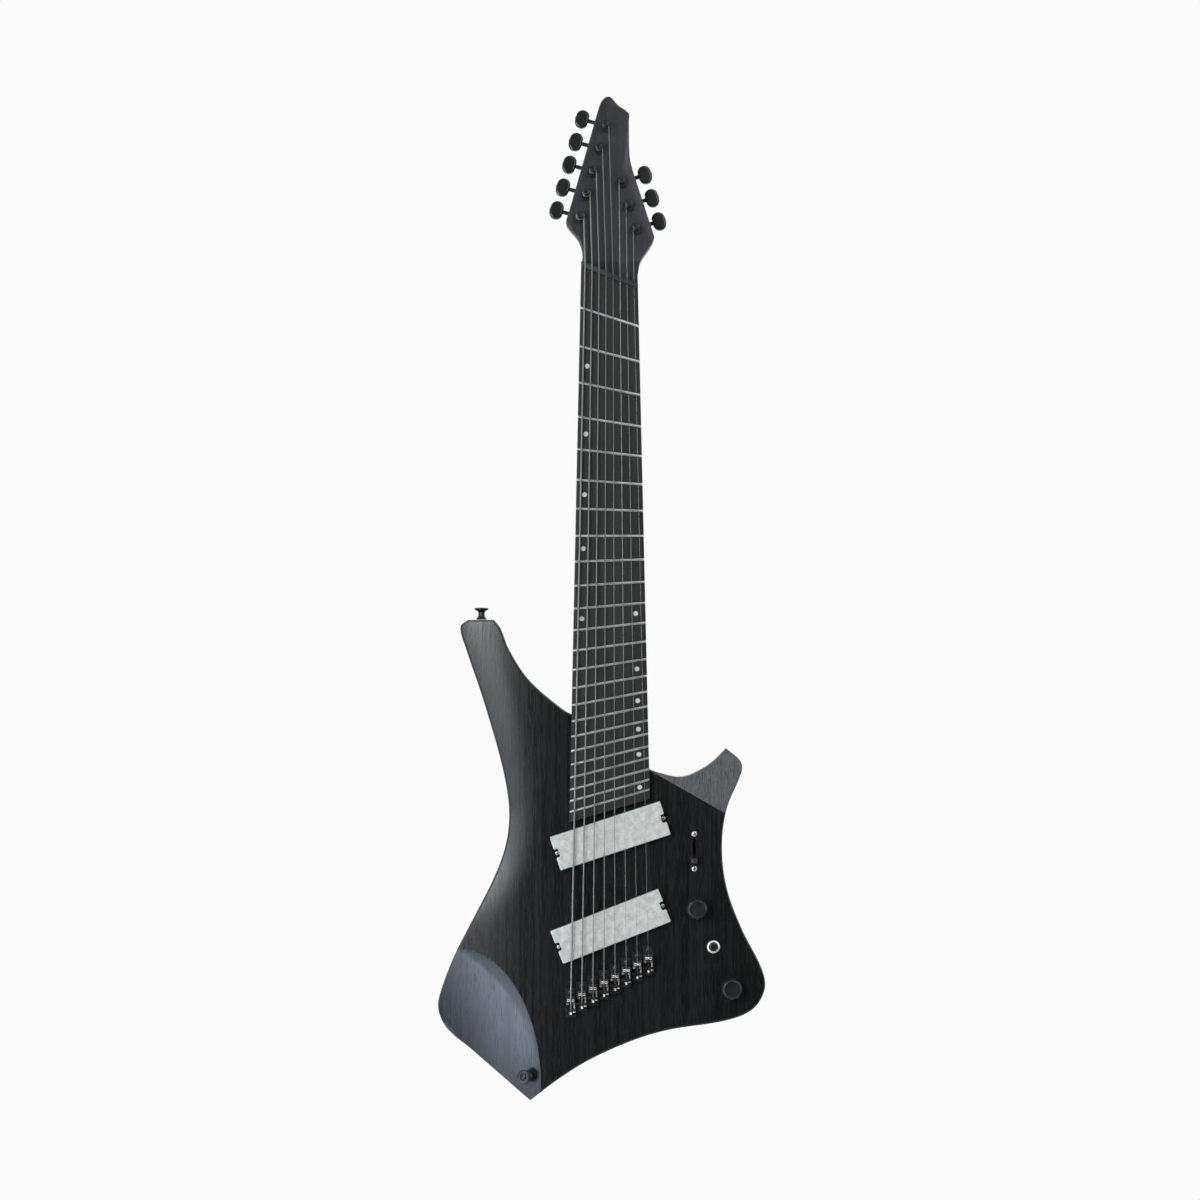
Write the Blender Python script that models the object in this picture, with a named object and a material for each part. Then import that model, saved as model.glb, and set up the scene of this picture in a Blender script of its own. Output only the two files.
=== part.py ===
"""Eight-string electric guitar with fanned frets, built as an assembly of separate pieces.

Metres. +Z runs up the neck, +X is the side of the thinnest string, and the front faces -Y. The
origin lies on the flat back of the body, behind the middle of the bridge line. A level is the
distance of a point in front of that back plane, so y = -level.
"""
import bmesh
import bpy
from math import acos, atan2, cos, pi, radians, sin, sqrt, tan, tau
from mathutils import Matrix, Vector
from mathutils.geometry import interpolate_bezier

MM = 0.001
GAP = 0.3 * MM  # seating and running clearance between neighbouring pieces
WELD = 1e-6  # vertices closer than this are one
BEYOND = 10 * MM  # how far a cutting tool reaches past what it cuts

# Strings and scale
STRING_DIAMETERS = (1.65, 1.37, 1.07, 0.81, 0.61, 0.41, 0.28, 0.23)  # mm, thickest string first
STRINGS = len(STRING_DIAMETERS)
FRETS = 24
SCALE_BASS = 698.5 * MM
SCALE_TREBLE = 648 * MM
SQUARE_FRET = 8  # the fret that lies square to the centreline
NUT_SPREAD = 47.3 * MM
BRIDGE_SPREAD = 74.9 * MM
NUT_CLEARANCE = 0.5 * MM  # string above the fret plane at the nut
BRIDGE_RISE = 2.6 * MM  # further rise of the string towards the bridge
BASS_SETBACK = 8.8 * MM  # how far the thickest string's saddle stands behind its scale point

# Fretboard and nut
BOARD_THICK = 6.5 * MM
BOARD_RADIUS = 400 * MM
BOARD_STRIPS = 5
BOARD_END_FRET = 25  # the board ends where this fret would lie
EDGE_AT_NUT = 3.85 * MM  # board beyond the outer string
EDGE_AT_END = 4.75 * MM
FRET_WIDTH = 2.4 * MM
FRET_HEIGHT = 1.2 * MM
FRET_CROWN = ((0.5, 0), (0.34, 0.78), (0, 1), (-0.34, 0.78), (-0.5, 0))  # shares of width, height
NUT_THICK = 4.6 * MM
NUT_OVER_STRING = 1.0 * MM  # depth of a nut slot

# Neck and headstock
NECK_FACE = 45.2 * MM  # level of the face under the fretboard
NECK_CHEEK = 1.5 * MM
NECK_FACETS = 12
NECK_BACK_AT_NUT = 32 * MM
NECK_BACK_AT_HEEL = 30 * MM
HEEL_THICK = 18 * MM
HEEL_RAMP = (16 * MM, 38 * MM)  # heights over the body's edge where the heel thins to the neck
HEEL_RAMP_DEPTH = 1.2 * MM
NECK_FLARE = (40 * MM, 16 * MM)  # heights under the nut where the back flattens towards the head
HEAD_AFTER_NUT = 2.95 * MM  # from the back of the nut to where the headstock tips back
HEAD_TILT = radians(9.5)
HEAD_THICK = 14.5 * MM
HEAD_EDGE = 1.2 * MM
VOLUTE = 14 * MM  # stretch on each side of the break where the neck widens into the headstock
VOLUTE_SKIN = 0.5 * MM
VOLUTE_INSET = 1 * MM
HEAD_KNOTS = (  # across and up the headstock face from the break, in mm
    (-27, -14, "corner"), (-26.2, 8, "smooth"), (-30, 21, "smooth"), (-38.5, 31.5, "smooth"),
    (-42, 38, "smooth"), (-39.6, 47, "corner"), (-10.5, 151, "corner"), (-7, 159, "smooth"),
    (0, 162.5, "smooth"), (8, 154, "smooth"), (18.6, 146, "smooth"), (18.8, 138, "corner"),
    (19.4, 104, "smooth"), (22.5, 89, "corner"), (42, 28, "corner"), (43.2, 22, "smooth"),
    (37, 11, "smooth"), (30, 0, "smooth"), (27.2, -14, "corner"),
)

# Body
BODY_THICK = 44 * MM
FRONT_ROUND = 2.5 * MM
BACK_ROUND = 4 * MM
CURVE_STEPS = 3
ROLL_START = -50 * MM  # the top falls away in an arc from here to the arm side
ROLL_RADIUS = 400 * MM
ROLL_STRIPS = 7
BODY_KNOTS = (  # across and up, in mm, from the neck pocket round the arm side and back
    (-31, 249, "corner"), (-45, 256.5, "smooth"), (-77.7, 284.8, "smooth"), (-97, 313.8, "smooth"),
    (-105.5, 335, "smooth"), (-111.5, 342.8, "corner"), (-137, 342.8, "corner"),
    (-144.3, 336, "smooth"), (-138.5, 313.8, "smooth"), (-122.1, 265.5, "smooth"),
    (-103, 198, "smooth"), (-97, 156, "smooth"), (-101.6, 120.8, "smooth"), (-117.1, 82.1, "smooth"),
    (-147.3, 24.2, "smooth"), (-162.7, -14.4, "smooth"), (-166, -33.7, "smooth"),
    (-157.6, -53, "smooth"), (-134.7, -72.3, "smooth"), (-89.3, -110.9, "smooth"),
    (-76.7, -121.5, "corner"), (-50.1, -101.3, "smooth"), (-19.2, -82, "smooth"),
    (24.7, -62.6, "smooth"), (58.1, -53, "smooth"), (111.3, -44.4, "smooth"),
    (137.8, -33.7, "smooth"), (149.9, -14.4, "smooth"), (147.5, 4.9, "smooth"),
    (128.2, 43.5, "smooth"), (113.8, 82.1, "smooth"), (108.7, 120.8, "smooth"),
    (113, 159.4, "smooth"), (128, 196.5, "smooth"), (126.5, 206.5, "smooth"),
    (112.9, 218.5, "corner"), (101.3, 206.9, "smooth"), (88.9, 198.3, "smooth"),
    (70, 191.2, "smooth"), (46, 196, "smooth"), (31, 202, "corner"),
)
SCOOP_CENTRE = (-219.4 * MM, -107.2 * MM)  # cone that hollows the lower corner of the top
SCOOP_RADIUS = 151.1 * MM
SCOOP_ANGLE = radians(13)
SCOOP_TILT = radians(7.7)
SCOOP_HINGE = -60 * MM  # where the tilted scoop plane meets the flat top
SCOOP_RISE = 8 * MM  # how far the cone goes on above the top
HORN_BEVEL_POINT = (85.2 * MM, 171.2 * MM)  # on the line where the horn's bevel begins
HORN_BEVEL_HEADING = radians(-29.7)
HORN_BEVEL_SLOPE = radians(19.8)
BELLY_AT = (-118 * MM, 128 * MM)  # middle of the shallow dish that eases the back's edge
BELLY_RADIUS = 230 * MM
BELLY_DEPTH = 14 * MM
NECK_POCKET_LENGTH = 100 * MM

# Pickups
PICKUP_LENGTH = 112 * MM
PICKUP_WIDTH = 34 * MM
PICKUP_TOP = 52.3 * MM
PICKUP_FLOOR = 23.7 * MM
PICKUP_CORNER = 2 * MM
PICKUP_NOTCH = (4 * MM, 8 * MM)  # depth and width of the screw notch in each end
PICKUP_EDGE = 0.8 * MM
PICKUP_CLEARANCE = 0.6 * MM
PICKUPS = {  # centre across, centre up, turn
    "neck_pickup": (0.7 * MM, 134.5 * MM, radians(18.1)),
    "bridge_pickup": (1.1 * MM, 47.1 * MM, radians(21.5)),
}

# Single-string bridges
BRIDGE_WIDTH = 9.9 * MM
BRIDGE_PLATE = 2.5 * MM
BRIDGE_NOSE = 12 * MM  # plate in front of the saddle
BRIDGE_TAIL = 12.2 * MM  # from the saddle back to the string's ball end
BRIDGE_LIP = 2 * MM
SADDLE_FLAT = 1.4 * MM  # half the crest of the saddle
SADDLE_FOOT = 4 * MM
ANCHOR_WALL = 2.6 * MM
BALL_RADIUS = 1.9 * MM
BALL_LENGTH = 3.2 * MM

# Controls in the top: centre across, centre up
VOLUME_AT = (84.5 * MM, 64 * MM)
TONE_AT = (118.2 * MM, -13.4 * MM)
KILL_AT = (100.4 * MM, 27.1 * MM)
SELECTOR_AT = (82 * MM, 119.3 * MM)
POT_RADIUS = 8.2 * MM
POT_DEPTH = 9.7 * MM
BUSHING_RADIUS = 4.7 * MM
POT_NUT_RADIUS = 6.5 * MM
POT_NUT_THICK = 2 * MM
SHAFT_RADIUS = 3 * MM
KNOB_RADIUS = 10.25 * MM
KNOB_HEIGHT = 15 * MM
KNOB_WALL = 2.6 * MM
KNOB_LIFT = 0.5 * MM
SWITCH_SIZE = (12 * MM, 40 * MM, 18 * MM)
SWITCH_SLOT = (3 * MM, 26 * MM)
LEVER_PIVOT = 26 * MM  # level of the lever's pivot
LEVER_REACH = 28.6 * MM
LEVER_THICK = 1.6 * MM
LEVER_WIDTH = 4 * MM
LEVER_TIP_WIDTH = 6.4 * MM
LEVER_SWING = radians(20)
BEZEL_RADIUS = 6.35 * MM
BEZEL_THICK = 1.6 * MM
KILL_BODY_RADIUS = 5.5 * MM
KILL_BODY_LENGTH = 20 * MM
KILL_BUTTON_RADIUS = 3.9 * MM
KILL_BUTTON_RISE = 1.6 * MM
KILL_TRAVEL = 1.5 * MM

# Control cavity and its cover, in the back
TOP_WALL = 7 * MM  # wood left above the control cavity
COVER_THICK = 2.2 * MM
COVER_LEDGE = 6 * MM
COVER_CORNER = 9 * MM
COVER_CORNERS = ((62, 150), (99, 150), (99, 118), (109, 64), (136, 2), (134, -27), (87, -31), (64, 50))

# Battery bay and its hinged door, in the back
BATTERY_SIZE = (26.5 * MM, 17.5 * MM, 48.5 * MM)
BATTERY_AT = (38 * MM, 0 * MM)
BATTERY_EDGE = 1.5 * MM
BAY_CLEARANCE = 1 * MM
BAY_CORNER = 2 * MM
DOOR_LEDGE = 4 * MM
DOOR_THICK = 2.2 * MM
DOOR_PIN_RADIUS = 0.7 * MM
DOOR_PIN_LENGTH = 2 * MM
DOOR_RELIEF = 0.7 * MM  # room behind the hinge, so that the door opens past upright

# Output jack in the lower edge
JACK_AT = (101 * MM, 22 * MM)  # across, level
JACK_SEAT = -38 * MM
JACK_FLANGE_RADIUS = 11 * MM
JACK_FLANGE_THICK = 2.5 * MM
JACK_BARREL_RADIUS = 6 * MM
JACK_BORE_RADIUS = 3.25 * MM
JACK_LENGTH = 20 * MM

# Drillings for the wires
WIRE_RADIUS = 3 * MM
WIRE_ASIDE = 20 * MM  # from the middle of the pickups towards the controls
WIRE_OVERLAP = 15 * MM  # how far a drilling runs into the hollow at each end

# Strap buttons
STRAP_UPPER_AT = (-124 * MM, 19 * MM)  # across, level
STRAP_LOWER_AT = (140.4 * MM, radians(3.6))  # distance and direction from the scoop's centre
STRAP_HEIGHT = 11.5 * MM
STRAP_RADII = (5 * MM, 3.2 * MM, 7 * MM)  # foot, waist, head

# Tuning machines: first post across, first post up, heading of the row, pitch
ROW_BASS = (-28.5 * MM, 42.5 * MM, radians(74.7), 23.4 * MM)
ROW_TREBLE = (25.6 * MM, 31.0 * MM, radians(106.5), 24.0 * MM)
TUNERS_BASS = 5
POST_RADIUS = 3 * MM
POST_HEIGHT = 13 * MM
POST_WAIST = 2.6 * MM
POST_CAP = 3.6 * MM
SLEEVE_RADIUS = 4.7 * MM
TUNER_NUT_RADIUS = 5.8 * MM
TUNER_NUT_THICK = 2.4 * MM
HOUSING_SIZE = (20 * MM, 15 * MM, 12 * MM)
HOUSING_EDGE = 1.5 * MM
HOUSING_SHIFT = (1 * MM, 2 * MM)  # of the housing's centre from the post, out and towards the tip
SHAFT_SEAT = 6 * MM  # how deep the worm shaft goes into the housing
SHAFT_OFFSET = 5 * MM  # worm shaft beside the post
TUNER_SHAFT_RADIUS = 2 * MM
TUNER_REACH = 24.9 * MM  # post to the middle of the button
BUTTON_SIZE = (13 * MM, 18 * MM, 7.5 * MM)
BUTTON_EDGE = 1.8 * MM
POST_FLOOR = 5.5 * MM  # post's foot below the back of the headstock
WRAP_TURNS = 1.5
WRAP_STEPS = 8  # points per turn
WRAP_TOP = 9.6 * MM
WRAP_SPACE = 0.25 * MM

# Worked out from the sizes above
BOARD_TOP = NECK_FACE + GAP + BOARD_THICK
FRET_TOP = BOARD_TOP + FRET_HEIGHT
HEEL_FLOOR = NECK_FACE - HEEL_THICK
POCKET_FLOOR = HEEL_FLOOR - GAP
SPLAY = (BRIDGE_SPREAD - NUT_SPREAD) / 2
RUN_BASS = sqrt(SCALE_BASS ** 2 - SPLAY ** 2)
RUN_TREBLE = sqrt(SCALE_TREBLE ** 2 - SPLAY ** 2)
BRIDGE_LEAN = (RUN_BASS - RUN_TREBLE) * 2 ** (-SQUARE_FRET / 12)
HEAD_BREAK = RUN_BASS - BRIDGE_LEAN / 2 + NUT_THICK + HEAD_AFTER_NUT
CAVITY_CEILING = BODY_THICK - TOP_WALL
PLATE_TOP = BODY_THICK + GAP + BRIDGE_PLATE
BUSHING_TOP = BODY_THICK + GAP + POT_NUT_THICK + 1 * MM
POT_BACK = CAVITY_CEILING - GAP - POT_DEPTH
KILL_FLOOR = BODY_THICK - 6 * MM
BAY_DEPTH = DOOR_THICK + GAP + BATTERY_SIZE[1] + BAY_CLEARANCE
BODY_ARM_SIDE = min(knot[0] for knot in BODY_KNOTS) * MM
ROLL_STRIP = (ROLL_START - BODY_ARM_SIDE) / ROLL_STRIPS
BODY_UPPER_END = max(knot[1] for knot in BODY_KNOTS) * MM
BAY_SIZE = (BATTERY_SIZE[0] + 2 * BAY_CLEARANCE, BATTERY_SIZE[2] + 2 * BAY_CLEARANCE)
DOOR_SIZE = (BAY_SIZE[0] + 2 * DOOR_LEDGE, BAY_SIZE[1] + 2 * DOOR_LEDGE)
DOOR_HINGE = BATTERY_AT[1] - DOOR_SIZE[1] / 2 + DOOR_THICK / 2
HOUSING_TOP = -HEAD_THICK - GAP
SHAFT_DEPTH = HOUSING_TOP - HOUSING_SIZE[2] / 2


def clear_scene():
    for old in list(bpy.data.objects):
        bpy.data.objects.remove(old)


def material(name, colour, roughness, metallic=0.0):
    made = bpy.data.materials.new(name)
    made.use_nodes = True
    shader = made.node_tree.nodes["Principled BSDF"]
    shader.inputs["Base Color"].default_value = (*colour, 1)
    shader.inputs["Roughness"].default_value = roughness
    shader.inputs["Metallic"].default_value = metallic
    return made


def seat(name, matrix, parent=None):
    """Empty that carries pieces in its own frame."""
    holder = bpy.data.objects.new(name, None)
    holder.empty_display_size = 0.01
    holder.parent = parent
    holder.matrix_local = matrix
    bpy.context.scene.collection.objects.link(holder)
    return holder


def piece(name, shape, finish, parent=None, matrix=None):
    """Named object from a bmesh, with its own material, in the frame of its parent."""
    mesh = bpy.data.meshes.new(name)
    bmesh.ops.recalc_face_normals(shape, faces=shape.faces)
    shape.to_mesh(mesh)
    shape.free()
    mesh.shade_smooth()
    mesh.set_sharp_from_angle(angle=radians(32))
    mesh.materials.append(finish)
    made = bpy.data.objects.new(name, mesh)
    made.parent = parent
    made.matrix_local = matrix or Matrix.Identity(4)
    bpy.context.scene.collection.objects.link(made)
    return made


def combined(shape, *steps):
    """The solid after each (operation, tool) Boolean step. All are bmeshes, and the steps use them up."""
    made = []
    for part in (shape, *(tool for _, tool in steps)):
        mesh = bpy.data.meshes.new("step")
        bmesh.ops.recalc_face_normals(part, faces=part.faces)
        part.to_mesh(mesh)
        part.free()
        made.append(bpy.data.objects.new("step", mesh))
        bpy.context.scene.collection.objects.link(made[-1])
    for (operation, _), tool in zip(steps, made[1:]):
        change = made[0].modifiers.new(operation, "BOOLEAN")
        change.operation = operation
        change.object = tool
    bpy.context.view_layer.update()
    result = bmesh.new()
    evaluated = made[0].evaluated_get(bpy.context.evaluated_depsgraph_get())
    result.from_mesh(evaluated.to_mesh())
    evaluated.to_mesh_clear()
    for used in made:
        bpy.data.objects.remove(used)
    bmesh.ops.remove_doubles(result, verts=result.verts, dist=WELD)
    bmesh.ops.dissolve_degenerate(result, edges=result.edges, dist=WELD)
    return result


def moved(shape, matrix):
    bmesh.ops.transform(shape, matrix=matrix, verts=shape.verts)
    return shape


def frontal(a, b, level):
    """Across, up and level, for shapes drawn as seen from the front."""
    return (a, -level, b)


def sideways(a, level, across):
    """Up, level and across, for shapes drawn as seen from the side."""
    return (across, -level, a)


def flat(a, b, height):
    return (a, b, height)


def loft(rings):
    """Closed solid through rings of points, with a flat cap on the first and the last."""
    shape = bmesh.new()
    rows = [[shape.verts.new(point) for point in ring] for ring in rings]
    for low, high in zip(rows, rows[1:]):
        for k in range(len(low)):
            shape.faces.new((low[k - 1], low[k], high[k], high[k - 1]))
    shape.faces.new(rows[0])
    shape.faces.new(rows[-1])
    bmesh.ops.recalc_face_normals(shape, faces=shape.faces)
    return shape


def extruded(ring, start, stop, place=frontal):
    """Solid with the outline ring of (a, b) points, from start to stop along the third direction."""
    return loft([[place(a, b, s) for a, b in ring] for s in (start, stop)])


def box(size, centre=(0, 0, 0)):
    shape = bmesh.new()
    bmesh.ops.create_cube(shape, size=1, matrix=Matrix.Translation(centre) @ Matrix.Diagonal((*size, 1)))
    return shape


def bevelled(shape, width, segments=1):
    """Every edge sharper than 40 degrees, broken by width."""
    edges = [e for e in shape.edges if e.calc_face_angle(0) > radians(40)]
    bmesh.ops.bevel(shape, geom=edges, offset=width, segments=segments, affect="EDGES", profile=0.5)
    return shape


def turned(profile, steps=16):
    """Solid of revolution about +Z from a profile of (radius, height) points, axis to axis."""
    shape = bmesh.new()
    line = [shape.verts.new((radius, 0, height)) for radius, height in profile]
    edges = [shape.edges.new(pair) for pair in zip(line, line[1:])]
    bmesh.ops.spin(shape, geom=line + edges, axis=(0, 0, 1), cent=(0, 0, 0), steps=steps, angle=tau,
                   use_merge=True)
    bmesh.ops.remove_doubles(shape, verts=shape.verts, dist=WELD)
    bmesh.ops.recalc_face_normals(shape, faces=shape.faces)
    return shape


def rod(radius, start, stop, steps=16):
    """Cylinder between two points."""
    start = Vector(start)
    axis = Vector(stop) - start
    shape = turned(((0, 0), (radius, 0), (radius, axis.length), (0, axis.length)), steps)
    return moved(shape, Matrix.Translation(start) @ axis.to_track_quat("Z", "Y").to_matrix().to_4x4())


def rectangle(width, height, centre=(0, 0)):
    x, y = centre
    return [(x + sx * width / 2, y + sy * height / 2) for sx, sy in ((-1, -1), (1, -1), (1, 1), (-1, 1))]


def rounded(ring, radius, steps=3):
    """The ring with each of its corners replaced by an arc."""
    made = []
    for k, point in enumerate(ring):
        corner = Vector(point)
        before = (Vector(ring[k - 1]) - corner).normalized()
        after = (Vector(ring[(k + 1) % len(ring)]) - corner).normalized()
        reach = radius / tan(before.angle(after) / 2)
        start = corner + before * reach
        stop = corner + after * reach
        ease = 0.45  # handle length that brings the curve close to a circle
        arc = interpolate_bezier(start.to_3d(), corner.to_3d() + (start - corner).to_3d() * ease,
                                 corner.to_3d() + (stop - corner).to_3d() * ease, stop.to_3d(), steps + 1)
        made += [tuple(p[:2]) for p in arc]
    return made


def offset(ring, distance):
    """The counter-clockwise or clockwise ring with every side moved out by distance."""
    area = sum(a[0] * b[1] - b[0] * a[1] for a, b in zip(ring, ring[1:] + ring[:1]))
    side = 1 if area > 0 else -1
    made = []
    for k, point in enumerate(ring):
        before = (Vector(point) - Vector(ring[k - 1])).normalized()
        after = (Vector(ring[(k + 1) % len(ring)]) - Vector(point)).normalized()
        out = Vector((before.y + after.y, -before.x - after.x)).normalized() * side
        scale = distance / max(0.2, out.dot(Vector((after.y, -after.x)) * side))
        made.append((point[0] + out.x * scale, point[1] + out.y * scale))
    return made


def curved_ring(knots, steps):
    """Outline through knots of (x, y, kind) in mm. Smooth knots get a common tangent."""
    points = [Vector((x * MM, y * MM, 0)) for x, y, _ in knots]
    count = len(knots)
    made = []
    for k in range(count):
        here, there = points[k], points[(k + 1) % count]
        span = (there - here).length
        leave = arrive = (there - here).normalized()
        if knots[k][2] == "smooth":
            leave = (there - points[k - 1]).normalized()
        if knots[(k + 1) % count][2] == "smooth":
            arrive = (points[(k + 2) % count] - here).normalized()
        straight = leave.dot(arrive) > 0.99999
        line = interpolate_bezier(here, here + leave * span / 3, there - arrive * span / 3, there,
                                  2 if straight else steps + 1)
        made += [tuple(p[:2]) for p in line[:-1]]
    return made


def fret_fraction(fret):
    """Share of the string between the bridge and a fret."""
    return 2 ** (-fret / 12)


def string_point(t, f):
    """Across and up, on the line at share t from the thickest string, at share f up from the bridge."""
    across = (t - 0.5) * (BRIDGE_SPREAD + (NUT_SPREAD - BRIDGE_SPREAD) * f)
    up = (t - 0.5) * BRIDGE_LEAN + f * (RUN_BASS + (RUN_TREBLE - RUN_BASS) * t)
    return across, up


def board_edge(side, f):
    """Share t of the board's edge, side -1 or 1, at share f up from the bridge."""
    end = fret_fraction(BOARD_END_FRET)
    margin = EDGE_AT_END + (EDGE_AT_NUT - EDGE_AT_END) * (f - end) / (1 - end)
    spread = BRIDGE_SPREAD + (NUT_SPREAD - BRIDGE_SPREAD) * f
    return 0.5 + side * (0.5 + margin / spread)


def edge_across(side, up, slope=0.0):
    """Where the board's edge meets the line of that height at the centre and that slope."""
    x_nut, z_nut = string_point(board_edge(side, 1), 1)
    low = fret_fraction(BOARD_END_FRET)
    x_end, z_end = string_point(board_edge(side, low), low)
    rate = (x_nut - x_end) / (z_nut - z_end)
    return (x_nut + rate * (up - z_nut)) / (1 - rate * slope)


def radius_drop(x):
    """How far the fretboard's radius falls at x from the middle."""
    return BOARD_RADIUS - sqrt(BOARD_RADIUS ** 2 - x * x)


def string_floor(x, f):
    """Level of a string's underside."""
    return FRET_TOP + NUT_CLEARANCE + BRIDGE_RISE * (1 - f) - radius_drop(x)


def board_station(f, along, rise):
    """Slanted ring across the board, moved along it and raised in the middle of a fret."""
    left, right = board_edge(-1, f), board_edge(1, f)
    ring = []
    for k in range(BOARD_STRIPS + 1):
        x, z = string_point(left + (right - left) * k / BOARD_STRIPS, f)
        ring.append(frontal(x, z + along, BOARD_TOP + rise - radius_drop(x)))
    for t in (right, left):
        x, z = string_point(t, f)
        ring.append(frontal(x, z + along, NECK_FACE + GAP))
    return ring


def fretboard():
    rings = [board_station(1, 0, 0)]
    for fret in range(1, FRETS + 1):
        for along, rise in FRET_CROWN:
            rings.append(board_station(fret_fraction(fret), along * FRET_WIDTH, rise * FRET_HEIGHT))
    rings.append(board_station(fret_fraction(BOARD_END_FRET), 0, 0))
    return loft(rings)


def string_radius(index):
    return STRING_DIAMETERS[index] * MM / 2


def nut_lean():
    """Angle of the nut across the neck."""
    return atan2(string_point(0, 1)[1] - string_point(1, 1)[1], NUT_SPREAD)


def nut():
    """Slanted bar with one slot per string."""
    left, right = board_edge(-1, 1), board_edge(1, 1)
    top = FRET_TOP + NUT_CLEARANCE + NUT_OVER_STRING
    outline = [(left, NECK_FACE + GAP), (left, top - radius_drop(string_point(left, 1)[0]))]
    for index in range(STRINGS):
        t = index / (STRINGS - 1)
        x, _ = string_point(t, 1)
        half = (string_radius(index) + GAP) / NUT_SPREAD
        floor = string_floor(x, 1) - GAP
        crest = top - radius_drop(x)
        outline += [(t - half, crest), (t - half, floor), (t + half, floor), (t + half, crest)]
    outline += [(right, top - radius_drop(string_point(right, 1)[0])), (right, NECK_FACE + GAP)]
    rings = []
    for along in (GAP, GAP + NUT_THICK / cos(nut_lean())):
        ring = []
        for t, level in outline:
            x, z = string_point(t, 1)
            ring.append(frontal(x, z + along, level))
        rings.append(ring)
    return loft(rings)


def neck_station(up, slope, back, square, face=NECK_FACE, inset=0.0):
    """Ring round the neck: flat under the board, a superellipse behind. A high square is a box."""
    left, right = edge_across(-1, up, slope) + inset, edge_across(1, up, slope) - inset
    middle, half = (left + right) / 2, (right - left) / 2
    cheek = face - NECK_CHEEK
    ring = [frontal(left, up + slope * left, face), frontal(right, up + slope * right, face)]
    for k in range(NECK_FACETS + 1):
        angle = pi * k / NECK_FACETS
        wide = abs(cos(angle)) ** (2 / square) * (1 if cos(angle) > 0 else -1)
        deep = sin(angle) ** (2 / square) if k % NECK_FACETS else 0
        x = middle + half * wide
        ring.append(frontal(x, up + slope * x, cheek - (cheek - back) * deep))
    return ring


def head_back_level(up):
    """Level of the back of the headstock at that height over the break."""
    return NECK_FACE - up * tan(HEAD_TILT) - HEAD_THICK / cos(HEAD_TILT)


def head_matrix():
    """Frame of the headstock face: X across, Y up the face, Z out of it."""
    return Matrix.Translation((0, -NECK_FACE, HEAD_BREAK)) @ Matrix.Rotation(pi / 2 - HEAD_TILT, 4, "X")


def tuner_rows():
    """(string number, post across, post up the face, direction to the button, shaft side) per tuner."""
    spots = []
    rows = ((ROW_BASS, TUNERS_BASS, 1), (ROW_TREBLE, STRINGS - TUNERS_BASS, -1))
    for (across, up, heading, pitch), count, side in rows:
        for k in range(count):
            number = STRINGS - k if side > 0 else 1 + k
            x = across + k * pitch * cos(heading)
            y = up + k * pitch * sin(heading)
            spots.append((number, x, y, heading + side * pi / 2, -side))
    return spots


def neck():
    """Neck with its heel tongue, headstock and post holes in one piece of wood."""
    low = fret_fraction(BOARD_END_FRET)
    (x0, z0), (x1, z1) = string_point(0, low), string_point(1, low)
    end_slope = (z1 - z0) / (x1 - x0)
    heel = (BODY_KNOTS[0], BODY_KNOTS[-1])
    heel_slope = (heel[1][1] - heel[0][1]) / (heel[1][0] - heel[0][0])
    heel_up = (heel[0][1] - heel_slope * heel[0][0]) * MM
    nut_up = string_point(0.5, 1)[1]
    shaft = loft([
        neck_station((z0 + z1) / 2, end_slope, HEEL_FLOOR, 14),
        neck_station(heel_up, heel_slope, HEEL_FLOOR, 14),
        neck_station(heel_up + HEEL_RAMP[0], heel_slope * 0.8, HEEL_FLOOR + HEEL_RAMP_DEPTH, 4),
        neck_station(heel_up + HEEL_RAMP[1], heel_slope * 0.4, NECK_BACK_AT_HEEL, 2.3),
        neck_station(nut_up - NECK_FLARE[0], 0, NECK_BACK_AT_NUT, 2.1),
        neck_station(nut_up - NECK_FLARE[1], 0, NECK_BACK_AT_NUT, 2.2),
        neck_station(HEAD_BREAK - VOLUTE, 0, head_back_level(-VOLUTE) - VOLUTE_SKIN, 14),
        neck_station(HEAD_BREAK, 0, head_back_level(0) + VOLUTE_SKIN, 10, inset=VOLUTE_INSET),
        neck_station(HEAD_BREAK + VOLUTE, 0, head_back_level(VOLUTE) + 2 * VOLUTE_SKIN, 8,
                     NECK_FACE - VOLUTE * tan(HEAD_TILT) - 2 * VOLUTE_SKIN, 2 * VOLUTE_INSET),
    ])
    head = bevelled(extruded(curved_ring(HEAD_KNOTS, CURVE_STEPS), -HEAD_THICK, 0, flat), HEAD_EDGE)
    moved(head, head_matrix())
    wide, long = 4 * NUT_SPREAD, 4 * VOLUTE
    shelf = box((wide, 2 * BEYOND, long), (0, -NECK_FACE - BEYOND, HEAD_BREAK - long / 2))
    holes = bmesh.new()
    for _, x, y, _, _ in tuner_rows():
        hole = rod(SLEEVE_RADIUS + GAP, (x, y, -HEAD_THICK - BEYOND), (x, y, BEYOND), 12)
        copy = bpy.data.meshes.new("hole")
        hole.to_mesh(copy)
        hole.free()
        holes.from_mesh(copy)
        bpy.data.meshes.remove(copy)
    moved(holes, head_matrix())
    return combined(shaft, ("UNION", head), ("DIFFERENCE", shelf), ("DIFFERENCE", holes))


def roll_drop(x):
    """How far the top has fallen at x, straight between the strips' lines."""
    place = max(0, ROLL_START - x) / ROLL_STRIP
    low = min(int(place), ROLL_STRIPS - 1)
    a, b = (ROLL_RADIUS - sqrt(ROLL_RADIUS ** 2 - (k * ROLL_STRIP) ** 2) for k in (low, low + 1))
    return a + (b - a) * (place - low)


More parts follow.
